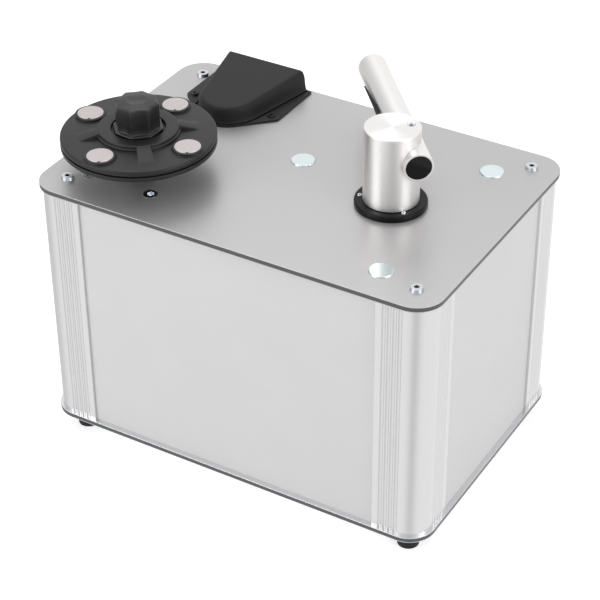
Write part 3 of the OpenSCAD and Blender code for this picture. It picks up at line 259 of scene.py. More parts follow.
def build_cavity_group():
    """Painted shade in sockets, grooves and seams: Shade falls from 1 by Strength where the surface is closed in."""
    group, inside, outside = new_group("cavity_shade", [("Distance", 0.002), ("Strength", 0.5)],
                                       [("Shade", "NodeSocketFloat")])
    occlusion = add_node(group, "ShaderNodeAmbientOcclusion", [("Distance", inside.outputs["Distance"])],
                         samples=8, only_local=True)
    closed = math_node(group, "SUBTRACT", 1.0, occlusion.outputs["AO"])
    shade = math_node(group, "SUBTRACT", 1.0, math_node(group, "MULTIPLY", closed, inside.outputs["Strength"]),
                      clamp=True)
    group.links.new(shade, outside.inputs["Shade"])
    return group


GROUPS = {}


def place_group(tree, name, links):
    """Places one of the shared groups in a material."""
    node = tree.nodes.new("ShaderNodeGroup")
    node.node_tree = GROUPS[name]
    for target, source in links:
        if hasattr(source, "is_output"):
            tree.links.new(source, node.inputs[target])
        else:
            node.inputs[target].default_value = source
    return node


def finish(name, colour, rough, metal=0.0, cloud=(12.0, 0.05), grain=(900.0, 0.04), bump=0.1, depth=0.00002,
           edge=0.0005, edge_highlight_colour=None, edge_highlight_amount=0.5, rough_vary=0.1, turning=None, core=None, cavity=None,
           specular=0.5, coat=0.0, sheen=0.0, drawn=0.0):
    """A material for one finish: colour times cloudy tone, a painted highlight on softened edges, grained roughness and
    bump.
    turning is (centre x, centre y, pitch) for tool marks round an axis, or (None, None, pitch) for marks along Z.
    core is (low z, high z, skin, colour) for the dark core that shows in a plate's edge. cavity is (distance,
    strength) for painted shade in sockets and grooves. drawn is how far a turned finish spreads its gloss along Z."""
    material = bpy.data.materials.new(name)
    material.use_nodes = True
    tree = material.node_tree
    shader = tree.nodes["Principled BSDF"]
    shader.inputs["Metallic"].default_value = metal
    shader.inputs["Specular IOR Level"].default_value = specular
    if drawn:
        shader.inputs["Anisotropic"].default_value = drawn
        shader.inputs["Anisotropic Rotation"].default_value = 0.25
    if coat:
        shader.inputs["Coat Weight"].default_value = coat
        shader.inputs["Coat Roughness"].default_value = 0.15
    if sheen:
        shader.inputs["Sheen Weight"].default_value = sheen
        shader.inputs["Sheen Roughness"].default_value = 0.4
    place = add_node(tree, "ShaderNodeTexCoord").outputs["Object"]
    tone = place_group(tree, "surface_grain", [("Vector", place), ("Cloud Scale", cloud[0]), ("Cloud Amount", cloud[1]),
                                            ("Grain Scale", grain[0]), ("Grain Amount", grain[1])])
    soft = place_group(tree, "soft_edge", [("Radius", edge)])
    colour_out = add_node(tree, "ShaderNodeMix", [(6, (*colour, 1)), (7, tone.outputs["Tone"])],
                          data_type="RGBA", blend_type="MULTIPLY")
    colour_out.inputs[0].default_value = 1.0
    colour_out = colour_out.outputs[2]
    # painted highlight: along softened edges the colour is mixed toward a lighter colour
    light = edge_highlight_colour or tuple(min(1.0, c * 1.35 + 0.01) for c in colour)
    edge_highlight_mask = math_node(tree, "MULTIPLY", soft.outputs["Edge"], edge_highlight_amount)
    colour_out = add_node(tree, "ShaderNodeMix", [(0, edge_highlight_mask), (6, colour_out), (7, (*light, 1))],
                          data_type="RGBA").outputs[2]
    # painted shade: ambient occlusion darkens the colour in sockets, grooves and seams
    if cavity:
        shade = place_group(tree, "cavity_shade", [("Distance", cavity[0]), ("Strength", cavity[1])])
        shaded = add_node(tree, "ShaderNodeMix", [(6, colour_out), (7, shade.outputs["Shade"])],
                          data_type="RGBA", blend_type="MULTIPLY")
        shaded.inputs[0].default_value = 1.0
        colour_out = shaded.outputs[2]
    if core:
        low, high, skin, dark = core
        z = add_node(tree, "ShaderNodeSeparateXYZ", [(0, place)]).outputs[2]
        above = math_node(tree, "GREATER_THAN", z, low + skin)
        below = math_node(tree, "LESS_THAN", z, high - skin)
        normal = add_node(tree, "ShaderNodeNewGeometry").outputs["True Normal"]
        steep = add_node(tree, "ShaderNodeSeparateXYZ", [(0, normal)]).outputs[2]
        side = math_node(tree, "LESS_THAN", math_node(tree, "ABSOLUTE", steep), 0.7)
        mask = math_node(tree, "MULTIPLY", math_node(tree, "MULTIPLY", above, below), side)
        colour_out = add_node(tree, "ShaderNodeMix", [(0, mask), (6, colour_out), (7, (*dark, 1))],
                              data_type="RGBA").outputs[2]
        inverse = math_node(tree, "MULTIPLY", math_node(tree, "SUBTRACT", 1.0, mask), metal)
        tree.links.new(inverse, shader.inputs["Metallic"])
    tree.links.new(colour_out, shader.inputs["Base Color"])
    height = tone.outputs["Grain"]
    varied = math_node(tree, "ADD", math_node(tree, "MULTIPLY", math_node(tree, "SUBTRACT", height, 0.5),
                                              rough_vary), rough, clamp=True)
    if turning:
        x, y, pitch = turning
        split = add_node(tree, "ShaderNodeSeparateXYZ", [(0, place)])
        if x is None:
            along = split.outputs[2]
        else:
            shift = add_node(tree, "ShaderNodeVectorMath", [(0, place), (1, (x, y, 0))], operation="SUBTRACT")
            flat = add_node(tree, "ShaderNodeVectorMath", [(0, shift.outputs[0]), (1, (1, 1, 0))],
                            operation="MULTIPLY")
            radius = add_node(tree, "ShaderNodeVectorMath", [(0, flat.outputs[0])], operation="LENGTH")
            along = math_node(tree, "ADD", radius.outputs["Value"], split.outputs[2])
        axis = add_node(tree, "ShaderNodeCombineXYZ", [(0, along)])
        marks = place_group(tree, "turning_marks", [("Vector", axis.outputs[0]), ("Pitch", pitch)])
        height = math_node(tree, "ADD", math_node(tree, "MULTIPLY", height, 0.3), marks.outputs["Mark"])
        varied = math_node(tree, "ADD", varied, math_node(tree, "MULTIPLY", marks.outputs["Mark"], 0.06), clamp=True)
    tree.links.new(varied, shader.inputs["Roughness"])
    relief = add_node(tree, "ShaderNodeBump", [("Height", height), ("Normal", soft.outputs["Normal"]),
                                              ("Strength", bump), ("Distance", depth)])
    tree.links.new(relief.outputs[0], shader.inputs["Normal"])
    return material


FINISHES = {}


class CleanerSizes(bpy.types.PropertyGroup):
    """Sizes of the pieces that the scene makes."""

    ring_round: FloatProperty(name="Ring rounding", description="Rounding of the clamp's ring", default=0.9 * MM,
                              min=0.1 * MM, max=1.0 * MM, unit="LENGTH", precision=5)
    rim_round: FloatProperty(name="Rim rounding", description="Rounding of the clamp's outer edge",
                             default=1.4 * MM, min=0.2 * MM, max=2.0 * MM, unit="LENGTH", precision=5)
    gusset_width: FloatProperty(name="Gusset width", description="Width of the clamp's four gussets",
                                default=10.5 * MM, min=4 * MM, max=14 * MM, unit="LENGTH", precision=5)
    knob_hollow: FloatProperty(name="Knob hollow", description="Depth of the hollow in each face of the knob",
                               default=0.9 * MM, min=0.2 * MM, max=1.6 * MM, unit="LENGTH", precision=5)
    notch_depth: FloatProperty(name="Notch depth", description="How far the notch cuts into each insert's edge",
                               default=1.7 * MM, min=0, max=3 * MM, unit="LENGTH", precision=5)
    roof_round: FloatProperty(name="Roof rounding", description="Rounding between the air cover's wall and roof",
                              default=4.2 * MM, min=1 * MM, max=6 * MM, unit="LENGTH", precision=5)
    pile_height: FloatProperty(name="Pile height", description="How far the velvet's pile varies",
                               default=0.25 * MM, min=0, max=0.5 * MM, unit="LENGTH", precision=5)


def colour_property(title, text, value):
    """A colour that a user may change."""
    return FloatVectorProperty(name=title, description=text, subtype="COLOR", size=3, min=0, max=1, default=value)


class CleanerColours(bpy.types.PropertyGroup):
    """Colours of the finishes."""

    plate: colour_property("Plate", "Satin grey of the two plates", linear(196, 195, 195))
    panel: colour_property("Panel", "Matt grey of the panels", linear(222, 221, 221))
    post: colour_property("Post", "Anodised posts", linear(226, 225, 225))
    turned: colour_property("Turned metal", "Column and arm tube", linear(242, 240, 239))
    zinc: colour_property("Zinc", "Screws", linear(214, 218, 224))
    insert: colour_property("Insert", "Polished inserts of the clamp", linear(208, 199, 199))
    charcoal: colour_property("Charcoal", "Satin black mouldings", linear(27, 27, 29))
    gloss: colour_property("Gloss black", "Fan housing and rockers", linear(28, 28, 30))
    steel: colour_property("Black steel", "Blackened screws and motor cans", linear(34, 34, 36))
    rubber: colour_property("Rubber", "Feet, hoses and seal", linear(30, 30, 31))
    velvet: colour_property("Velvet", "Short grey pile", linear(132, 132, 136))
    white: colour_property("White plastic", "Tank, gears and bushes", linear(232, 230, 224))
    grey: colour_property("Grey plastic", "Gearbox and lids", linear(112, 113, 116))
    bronze: colour_property("Bronze", "Spindle bush and nut", linear(196, 158, 104))
    core: colour_property("Plate core", "Dark core in the edge of a plate", linear(84, 85, 88))


class CLEANER_OT_finishes(bpy.types.Operator):
    """Builds the shared shader groups and the finishes"""

    bl_idname = "cleaner.finishes"
    bl_label = "Finishes"

    def execute(self, context):
        c = context.scene.cleaner_colours
        GROUPS["surface_grain"] = build_grain_group()
        GROUPS["soft_edge"] = build_edge_group()
        GROUPS["turning_marks"] = build_turning_group()
        GROUPS["cavity_shade"] = build_cavity_group()
        # bright is the white of the painted highlight on the plates' edges
        bright = linear(246, 246, 247)
        for node, name, rough, metal in (("top_plate", "top_plate_satin", 0.36, 0.55),
                                         ("bottom_plate", "bottom_plate_satin", 0.22, 0.85)):
            low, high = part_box(node)
            colour = c.plate if node == "top_plate" else linear(226, 227, 229)
            FINISHES[name] = finish(name, colour, rough, metal=metal, cloud=(9, 0.02), grain=(1600, 0.02), bump=0.05,
                                    edge=0.0004, edge_highlight_colour=bright, edge_highlight_amount=0.9,
                                    core=(low.z, high.z, 0.45 * MM, tuple(c.core)))
        FINISHES["panel_matt"] = finish("panel_matt", c.panel, 0.62, cloud=(22, 0.03), grain=(1300, 0.05), bump=0.25)
        FINISHES["post_satin"] = finish("post_satin", c.post, 0.25, metal=0.85, cloud=(14, 0.02), grain=(1800, 0.03),
                                        edge=0.0002, edge_highlight_colour=linear(246, 246, 247), edge_highlight_amount=0.9, bump=0.04,
                                        cavity=(0.0022, 0.55))
        FINISHES["turned_metal"] = finish("turned_metal", c.turned, 0.34, metal=1.0, cloud=(20, 0.01),
                                          grain=(1500, 0.02), edge=0.0004, depth=0.00002, drawn=0.75,
                                          turning=(None, None, 0.00035), bump=0.3)
        FINISHES["faced_metal"] = finish("faced_metal", c.turned, 0.24, metal=1.0, cloud=(20, 0.01),
                                         grain=(1500, 0.02), edge=0.0004,
                                         turning=(spindle_x, spindle_y, 0.0003), bump=0.15)
        FINISHES["tube_metal"] = finish("tube_metal", c.turned, 0.3, metal=1.0, cloud=(30, 0.01),
                                        grain=(1500, 0.02), edge=0.0003, bump=0.06)
        FINISHES["bright_zinc"] = finish("bright_zinc", c.zinc, 0.2, metal=1.0, cloud=(60, 0.06), grain=(2200, 0.05),
                                         edge=0.0003, bump=0.1, cavity=(0.0022, 1.6))
        FINISHES["socket_zinc"] = finish("socket_zinc", c.zinc, 0.22, metal=1.0, cloud=(60, 0.06), grain=(2200, 0.05),
                                         edge=0.0002, bump=0.1, cavity=(0.0008, 0.9))
        FINISHES["dome_zinc"] = finish("dome_zinc", linear(226, 236, 238), 0.16, metal=1.0, cloud=(60, 0.06),
                                       grain=(2200, 0.03), edge=0.0004, bump=0.05)
        FINISHES["polished_insert"] = finish("polished_insert", c.insert, 0.3, metal=0.35, cloud=(60, 0.015),
                                             grain=(700, 0.0), edge=0.0002, bump=0.0, rough_vary=0.0)
        FINISHES["charcoal_satin"] = finish("charcoal_satin", c.charcoal, 0.4, cloud=(26, 0.1), grain=(1500, 0.2),
                                            edge=0.0006, edge_highlight_colour=linear(84, 84, 87), bump=0.3, specular=0.4,
                                            cavity=(0.005, 0.6))
        FINISHES["cover_satin"] = finish("cover_satin", linear(31, 31, 32), 0.5, cloud=(26, 0.1), grain=(1500, 0.25),
                                         edge=0.0007, edge_highlight_colour=linear(88, 87, 88), bump=0.35, specular=0.27,
                                         cavity=(0.004, 0.5))
        FINISHES["knob_satin"] = finish("knob_satin", linear(25, 25, 27), 0.36, cloud=(26, 0.1), grain=(1500, 0.2),
                                        edge=0.0009, edge_highlight_colour=linear(112, 112, 116), edge_highlight_amount=0.75, bump=0.25,
                                        specular=0.5, cavity=(0.004, 0.7))
        FINISHES["black_anodised"] = finish("black_anodised", linear(8, 8, 9), 0.3, cloud=(40, 0.1),
                                            grain=(1500, 0.1), edge=0.0005, edge_highlight_colour=linear(70, 70, 72), bump=0.1,
                                            specular=0.2)
        FINISHES["cap_gloss"] = finish("cap_gloss", linear(10, 10, 11), 0.07, cloud=(40, 0.1), grain=(1500, 0.05),
                                       edge=0.0003, bump=0.02, specular=0.25)
        FINISHES["gloss_black"] = finish("gloss_black", c.gloss, 0.16, cloud=(30, 0.05), grain=(1500, 0.05),
                                         bump=0.06, coat=0.3)
        FINISHES["black_steel"] = finish("black_steel", c.steel, 0.34, metal=0.5, cloud=(50, 0.15),
                                         grain=(1800, 0.2), edge=0.0003, edge_highlight_colour=linear(96, 96, 100), bump=0.2,
                                         cavity=(0.002, 1.2))
        FINISHES["rubber_matt"] = finish("rubber_matt", c.rubber, 0.66, cloud=(30, 0.2), grain=(1400, 0.35),
                                         edge=0.0006, bump=0.5, specular=0.3)
        FINISHES["velvet_pile"] = finish("velvet_pile", c.velvet, 0.95, cloud=(70, 0.12), grain=(3200, 0.6),
                                         bump=1.0, depth=0.0003, edge=0.0006, edge_highlight_amount=0.1, sheen=0.6)
        FINISHES["white_moulding"] = finish("white_moulding", c.white, 0.45, cloud=(18, 0.03), grain=(1200, 0.03),
                                            bump=0.15)
        FINISHES["grey_moulding"] = finish("grey_moulding", c.grey, 0.48, cloud=(18, 0.06), grain=(1300, 0.08),
                                           bump=0.25)
        FINISHES["bronze_turned"] = finish("bronze_turned", c.bronze, 0.3, metal=1.0, cloud=(40, 0.08),
                                           grain=(1500, 0.05), turning=(spindle_x, spindle_y, 0.0003), bump=0.15)
        return {"FINISHED"}


# Clamp

def clamp_profile(sizes):
    """Half section of the clamp: recess floor, two-tier ring, nearly flat disc, rim and hollow underside."""
    low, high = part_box("clamp_disc")
    outer = (high.x - low.x) / 2
    seal_low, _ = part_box("clamp_seal")
    ring_z = high.z
    edge_z = seal_low.z + 4 * MM
    cone_z = edge_z + 0.6 * MM
    step_z = ring_z - 2.05 * MM
    recess_z = ring_z - 3 * MM
    recess_r, ring_r, step_r, bore_r = 20 * MM, 29.7 * MM, 31.1 * MM, 3.65 * MM
    under_z = seal_low.z + 1 * MM
    corners = [
        (bore_r, recess_z, 0), (recess_r, recess_z, 0.3 * MM), (recess_r, ring_z, 0.7 * MM),
        (ring_r, ring_z, sizes.ring_round), (ring_r, step_z, 0.25 * MM), (step_r, step_z, sizes.ring_round),
        (step_r, cone_z, 0.3 * MM), (outer, edge_z, sizes.rim_round), (outer, low.z, 0.3 * MM),
        (outer - 1.6 * MM, low.z, 0), (outer - 1.6 * MM, under_z, 0), (outer - 7.2 * MM, under_z, 0),
        (outer - 7.2 * MM, edge_z - 2.4 * MM, 0.5 * MM), (recess_r + 3 * MM, recess_z - 3 * MM, 0),
        (bore_r + 5 * MM, recess_z - 3 * MM, 0.5 * MM), (bore_r + 5 * MM, under_z, 0), (bore_r, under_z, 0),
        (bore_r, recess_z, 0),
    ]
    return soften(corners), edge_z, ring_z


def gusset(angle, width, ring_z, edge_z):
    """A rib from the ring down to the disc: a rounded block that widens with r while its top falls on a line."""
    r = np.linspace(28 * MM, 45 * MM, 14)[:, None]
    fall = np.clip((r - 29.7 * MM) / (15.3 * MM), 0, 1)
    top = ring_z - 0.3 * MM - (ring_z - 0.5 * MM - edge_z) * fall
    w, floor_z = width / 2, edge_z - 0.6 * MM
    section = soften([(0, 0, 0), (-w, 0, 0), (-w, 1, 0.6 * MM), (w, 1, 0.6 * MM), (w, 0, 0), (0, 0, 0)], 6)
    v, share = section[None, :, 0], section[None, :, 1]
    cut = np.clip((np.abs(v) - (w - 0.6 * MM)) / (0.6 * MM), 0, 1)
    z = np.where(share > 0.5, top - 0.45 * MM * cut ** 2, floor_z) + 0 * v
    across, along = v * (0.95 + 0.3 * fall), r + 0 * v
    ca, sa = math.cos(angle), math.sin(angle)
    points = np.stack([spindle_x + along * ca - across * sa, spindle_y + along * sa + across * ca, z], -1)
    ends = [np.repeat(points[k:k + 1].mean(1, keepdims=True), points.shape[1], 1) for k in (0, -1)]
    points = np.concatenate([ends[0], points, ends[1] if len(ends) > 1 else points[-1:]])
    return points.reshape(-1, 3), grid_faces(points.shape[0], points.shape[1])


class CLEANER_OT_clamp(bpy.types.Operator):
    """Adds the clamp's turned body with its four bosses and gussets"""

    bl_idname = "cleaner.clamp"
    bl_label = "Clamp body"

    def execute(self, context):
        sizes = context.scene.cleaner_sizes
        profile, edge_z, ring_z = clamp_profile(sizes)
        shells = [turned(profile, spindle_x, spindle_y, 192)]
        insert_low, insert_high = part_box("clamp_inserts")
        pocket_z = insert_low.z - 0.05 * MM
        boss_z = insert_high.z - 0.4 * MM
        boss = soften([(0, pocket_z, 0), (9.75 * MM, pocket_z, 0), (9.75 * MM, boss_z, 0.3 * MM),
                       (11.6 * MM, boss_z, 0.7 * MM), (11.6 * MM, edge_z + 0.3 * MM, 0.35 * MM),
                       (12.0 * MM, edge_z - 0.4 * MM, 0), (0, edge_z - 0.4 * MM, 0)])
        first = math.radians(86.6)
        for k in range(4):
            a = first + k * math.pi / 2
            x, y = spindle_x + 44.6 * MM * math.cos(a), spindle_y + 44.6 * MM * math.sin(a)
            shells.append(turned(boss, x, y, 72))
            shells.append(gusset(a + math.pi / 4, sizes.gusset_width, ring_z, edge_z))
        add_piece("clamp_body", shells, FINISHES["charcoal_satin"], "clamp", ["clamp_disc"])
        return {"FINISHED"}


class CLEANER_OT_inserts(bpy.types.Operator):
    """Adds the four round inserts with the notch and the two small bumps at their edge"""

    bl_idname = "cleaner.inserts"
    bl_label = "Clamp inserts"

    def execute(self, context):
        low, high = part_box("clamp_inserts")
        depth = context.scene.cleaner_sizes.notch_depth
        radius = 9.7 * MM
        a = np.linspace(0, 2 * np.pi, 240, endpoint=False)
        viewer = math.radians(-60)
        arc = ((a - viewer + np.pi) % (2 * np.pi) - np.pi) * radius
        outline = radius - depth * np.exp(-(arc / (1.15 * MM)) ** 4)
        share = np.concatenate([np.linspace(0, 0.965, 30), [0.988, 1.0]])[:, None]
        x, y = share * outline * np.cos(a), share * outline * np.sin(a)
        toward = x * math.cos(viewer) + y * math.sin(viewer)
        across = y * math.cos(viewer) - x * math.sin(viewer)
        bump = sum(np.exp(-((toward - 8.6 * MM) ** 2 + (across - side * 2.3 * MM) ** 2) / (0.55 * MM) ** 2)
                   for side in (-1, 1))
        z = high.z + 0.35 * MM * bump
        z[-2] -= 0.08 * MM
        z[-1] -= 0.3 * MM
        top = np.stack([x, y, z], -1)
        base = np.stack([x[-1], y[-1], 0 * a + low.z], -1)
        foot = np.stack([0 * a, 0 * a, 0 * a + low.z], -1)
        disc = np.concatenate([top, base[None], foot[None]])
        faces = grid_faces(len(disc), len(a))
        shells = []
        for k in range(4):
            b = math.radians(86.6) + k * math.pi / 2
            shift = [spindle_x + 44.6 * MM * math.cos(b), spindle_y + 44.6 * MM * math.sin(b), 0]
            shells.append(((disc + shift).reshape(-1, 3), faces))
        add_piece("clamp_insert_discs", shells, FINISHES["polished_insert"], "clamp",
                  ["clamp_inserts"])
        return {"FINISHED"}


class CLEANER_OT_knob(bpy.types.Operator):
    """Adds the eight-sided knob with hollow faces on its skirt"""

    bl_idname = "cleaner.knob"
    bl_label = "Knob"

    def execute(self, context):
        low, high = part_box("clamp_knob")
        hollow = context.scene.cleaner_sizes.knob_hollow
        corner_r, skirt_r, flat_r = 16.8 * MM, 19 * MM, 7.4 * MM
        turn = math.radians(86.6 + 45)
        a = np.linspace(0, 2 * np.pi, 320, endpoint=False)
        face = (a - turn + np.pi / 8) % (np.pi / 4) - np.pi / 8
        flat = corner_r * math.cos(math.pi / 8)
        half = 0.88 * corner_r * math.sin(math.pi / 8)
        arc_r = (half ** 2 + hollow ** 2) / (2 * hollow)
        arc_x = flat - hollow + arc_r
        inside = np.maximum(arc_r ** 2 - (arc_x * np.sin(face)) ** 2, 0)
        side = np.minimum(flat / np.cos(face), arc_x * np.cos(face) - np.sqrt(inside))
        cap = corner_r - 0.12 * MM
        side = (side + cap - np.sqrt((side - cap) ** 2 + (0.12 * MM) ** 2)) / 2
        skirt = skirt_r * math.cos(math.pi / 8) / np.cos(face)
        skirt = (skirt + skirt_r - 0.15 * MM - np.sqrt((skirt - skirt_r + 0.15 * MM) ** 2 + (0.15 * MM) ** 2)) / 2
        slope = 1.6 / (16.8 - 7.4)

        def cone(r):
            return high.z - slope * (r - flat_r)

        z0 = low.z
        step = z0 + 3.5 * MM
        m = MM
        rows = [(0 * a, z0), (skirt - 0.3 * m, z0), (skirt, z0 + 0.3 * m), (skirt, step - 0.6 * m),
                (skirt - 0.18 * m, step - 0.18 * m), (skirt - 0.6 * m, step), (side + 0.6 * m, step),
                (side + 0.18 * m, step + 0.18 * m), (side, step + 0.6 * m)]
        shoulder = cone(side)
        rows += [(side, step + 0.6 * m + (shoulder - 0.9 * m - step - 0.6 * m) * t) for t in (0.25, 0.5, 0.75, 1.0)]
        rows += [(side - 0.07 * m, shoulder - 0.5 * m), (side - 0.27 * m, shoulder - 0.2 * m),
                 (side - 0.8 * m, cone(side - 0.8 * m))]
        rows += [((side - 0.8 * m) * (1 - t) + (flat_r + 0.25 * m) * t,
                  cone((side - 0.8 * m) * (1 - t) + (flat_r + 0.25 * m) * t)) for t in (0.33, 0.66, 1.0)]
        rows += [(flat_r + 0 * a, high.z), (flat_r - 0.3 * m + 0 * a, high.z - 0.06 * m),
                 (flat_r - 0.5 * m + 0 * a, high.z - 0.18 * m), (0 * a, high.z - 0.18 * m)]
        r = np.stack([row[0] for row in rows])
        z = np.stack([row[1] + 0 * a for row in rows])
        points = np.stack([spindle_x + r * np.cos(a), spindle_y + r * np.sin(a), z], -1)
        add_piece("knob_grip", [(points.reshape(-1, 3), grid_faces(len(rows), len(a)))],
                  FINISHES["knob_satin"], "knob", ["clamp_knob"], sharp=60)
        return {"FINISHED"}


# Air cover

def cover_plan(inset, count=64):
    """Outline of the scoop, inset from its foot: a straight side, a half turn round the nose, a straight side."""
    nose_y, mouth_y, nose_r, half_w = cover_nose_y, cover_mouth_y, 25 * MM, 36.5 * MM
    length = mouth_y - nose_y
    lean = math.acos(nose_r / math.hypot(half_w, length)) - math.atan2(length, half_w)
    a = np.linspace(-lean, -np.pi + lean, count)
    r = np.maximum(nose_r - inset, 0)
    arc_x, arc_y = r * np.cos(a), nose_y + r * np.sin(a)
    t = np.linspace(1, 0, 14)[:, None]
    t = t[:-1]
    right_x = arc_x[:1] + t * (half_w - inset - arc_x[:1])
    right_y = arc_y[:1] + t * (mouth_y - arc_y[:1])
    x = np.concatenate([right_x.ravel(), arc_x, -right_x.ravel()[::-1]])
    y = np.concatenate([right_y.ravel(), arc_y, right_y.ravel()[::-1]])
    return x, y


cover_low, cover_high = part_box("air_cover")
cover_x = (cover_low.x + cover_high.x) / 2
cover_mouth_y = cover_high.y
cover_nose_y = cover_mouth_y - 53 * MM


def cover_roof(y):
    """Height of the cover's roof above the deck: a line that rises from the nose to the mouth."""
    return (13.5 + 4.5 * (y - cover_nose_y + 25 * MM) / (cover_mouth_y - cover_nose_y + 25 * MM)) * MM


def cover_sheet(section):
    """Stack of outlines: each row of the section is (inset, height, share of the roof height), and after the
    last the outline is drawn to the middle line, so left and right meet on it."""
    rows = []
    for inset, height, share in section:
        x, y = cover_plan(inset)
        rows.append(np.stack([x, y, height + share * cover_roof(y)], -1))
    x, y, _ = rows[-1].T
    for t in (0.2, 0.45, 0.72, 1.0):
        middle_y = np.clip(y, cover_nose_y, None)
        yy = y + (middle_y - y) * t
        rows.append(np.stack([x * (1 - t), yy, section[-1][1] + cover_roof(yy)], -1))
    return np.stack(rows) + [cover_x, 0, deck]


class CLEANER_OT_cover(bpy.types.Operator):
    """Adds the air cover: a rounded shell on a flange, open at the rear"""

    bl_idname = "cleaner.cover"
    bl_label = "Air cover"

    def execute(self, context):
        roof = context.scene.cleaner_sizes.roof_round
        outer = cover_sheet(soften([(-2.8 * MM, 2 * MM, 0, 0), (0, 2 * MM, 2.6 * MM, 0), (1.2 * MM, 0, roof, 1),
                                    (8 * MM, 0, 0, 1)], 9))
        inner = cover_sheet(soften([(2 * MM, 0, 0, 0), (2 * MM, 2 * MM, 0.5 * MM, 0),
                                    (3.2 * MM, -2 * MM, roof * 0.6, 1), (8 * MM, -2 * MM, 0, 1)], 9))
        rows, cols = outer.shape[:2]
        count = rows * cols
        sheet = grid_faces(rows, cols, close_cols=False)
        j = np.arange(cols - 1)
        foot = np.stack([j, j + 1, j + 1 + count, j + count], -1)
        i = np.arange(rows - 1)
        mouth = [np.stack([i * cols + c, (i + 1) * cols + c, (i + 1) * cols + c + count, i * cols + c + count], -1)
                 for c in (0, cols - 1)]
        points = np.concatenate([outer.reshape(-1, 3), inner.reshape(-1, 3)])
        shells = [(points, np.concatenate([sheet, sheet + count, foot, *mouth]))]
        shells.append(cover_flange())
        add_piece("air_cover_shell", shells, FINISHES["cover_satin"], "case", ["air_cover"])
        return {"FINISHED"}


def resample(x, y, count):
    """Points at even steps along a polyline."""
    s = np.concatenate([[0], np.cumsum(np.hypot(np.diff(x), np.diff(y)))])
    t = np.linspace(0, s[-1], count)
    return np.interp(t, s, x), np.interp(t, s, y)


def cover_flange():
    """Flat flange round the foot of the cover, 2 mm thick with a rounded top edge."""
    half_w, tip_r, corner_r = 41.7 * MM, 26 * MM, 4 * MM
    tip_y, side_y = cover_mouth_y - 55.5 * MM, cover_mouth_y - 49 * MM
    dx, dy = half_w - corner_r, side_y - tip_y
    turn = math.atan2(dy, dx) - math.acos((tip_r - corner_r) / math.hypot(dx, dy))
    a1 = np.linspace(0, turn, 8)
    a2 = np.linspace(turn, -np.pi - turn, 60)
    a3 = np.linspace(-np.pi - turn, -np.pi, 8)
    x = np.concatenate([[half_w], dx + corner_r * np.cos(a1), tip_r * np.cos(a2), -dx + corner_r * np.cos(a3), [-half_w]])
    y = np.concatenate([[cover_mouth_y], side_y + corner_r * np.sin(a1), tip_y + tip_r * np.sin(a2),
                        side_y + corner_r * np.sin(a3), [cover_mouth_y]])
    count = 160
    ox, oy = resample(x, y, count)
    ix, iy = resample(*cover_plan(2 * MM), count)
    rows = [(ix, iy, 0.0), (ix, iy, 2 * MM)]
    middle_x, middle_y = 0.0, cover_nose_y
    for inset, z in ((0.6, 2.0), (0.18, 1.82), (0.0, 1.4), (0.0, 0.0)):
        scale = 1 - inset * MM / (40 * MM)
        rows.append((middle_x + (ox - middle_x) * scale, np.where(oy > cover_mouth_y - 1e-5, oy,
                     middle_y + (oy - middle_y) * scale), z * MM))
    ring = np.stack([np.stack([x + cover_x, y, 0 * x + deck + z], -1) for x, y, z in rows])
    ends = [np.repeat(ring[:, k:k + 1].mean(0, keepdims=True), len(rows), 0) for k in (0, -1)]
    ring = np.concatenate([ends[0], ring, ends[1]], axis=1)
    return ring.reshape(-1, 3), grid_faces(*ring.shape[:2], close_rows=True, close_cols=False)


# Soft and wound pieces

class CLEANER_OT_soft(bpy.types.Operator):
    """Adds the velvet's pile and the lift spring's wire"""

    bl_idname = "cleaner.soft"
    bl_label = "Velvet and spring"

    def execute(self, context):
        pile = context.scene.cleaner_sizes.pile_height
        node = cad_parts["velvet_strips"]
        mesh = node.data.copy()
        work = bmesh.new()
        work.from_mesh(mesh)
        bmesh.ops.remove_doubles(work, verts=work.verts, dist=1e-6)
        bmesh.ops.dissolve_limit(work, angle_limit=math.radians(2), verts=work.verts, edges=work.edges)
        bmesh.ops.triangulate(work, faces=work.faces)
        for _ in range(7):
            long_edges = [e for e in work.edges if e.calc_length() > 1.2 * MM]
            if not long_edges:
                break
            bmesh.ops.subdivide_edges(work, edges=long_edges, cuts=1, use_grid_fill=False)
            bmesh.ops.triangulate(work, faces=work.faces)
        bmesh.ops.recalc_face_normals(work, faces=work.faces)
        work.to_mesh(mesh)
        work.free()
        count = len(mesh.vertices)
        points = np.zeros(count * 3)
        normals = np.zeros(count * 3)
        mesh.vertices.foreach_get("co", points)
        mesh.vertex_normals.foreach_get("vector", normals)
        points, normals = points.reshape(-1, 3), normals.reshape(-1, 3)
        wave = np.sin(points @ [2100, 1700, 900]) * np.sin(points @ [-1300, 2300, 1500])
        points -= normals * (pile * (0.6 + 0.4 * wave))[:, None]
        mesh.vertices.foreach_set("co", points.ravel())
        mesh.update()
        mesh.shade_smooth()
        mesh.set_sharp_from_angle(angle=math.radians(50))
        mesh.materials.clear()
        mesh.materials.append(FINISHES["velvet_pile"])
        piece = bpy.data.objects.new("velvet_pile", mesh)
        context.scene.collection.objects.link(piece)
        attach(piece, "arm")
        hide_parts("velvet_strips")

        low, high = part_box("lift_spring")
        wire = SPRING_WIRE
        mean_r = (high.x - low.x) / 2 - wire
        turns = SPRING_TURNS
        t = np.linspace(0, 1, int(turns * 40) + 1)
        a = 2 * np.pi * turns * t
        z = low.z + wire + (high.z - low.z - 2 * wire) * t
        path = np.stack([column_x + mean_r * np.cos(a), column_y + mean_r * np.sin(a), z], -1)
        spring = add_piece("spring_wire", [helix_tube(path, a, wire)], FINISHES["bright_zinc"], "case",
                           ["lift_spring"])
        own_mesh(spring)
        return {"FINISHED"}


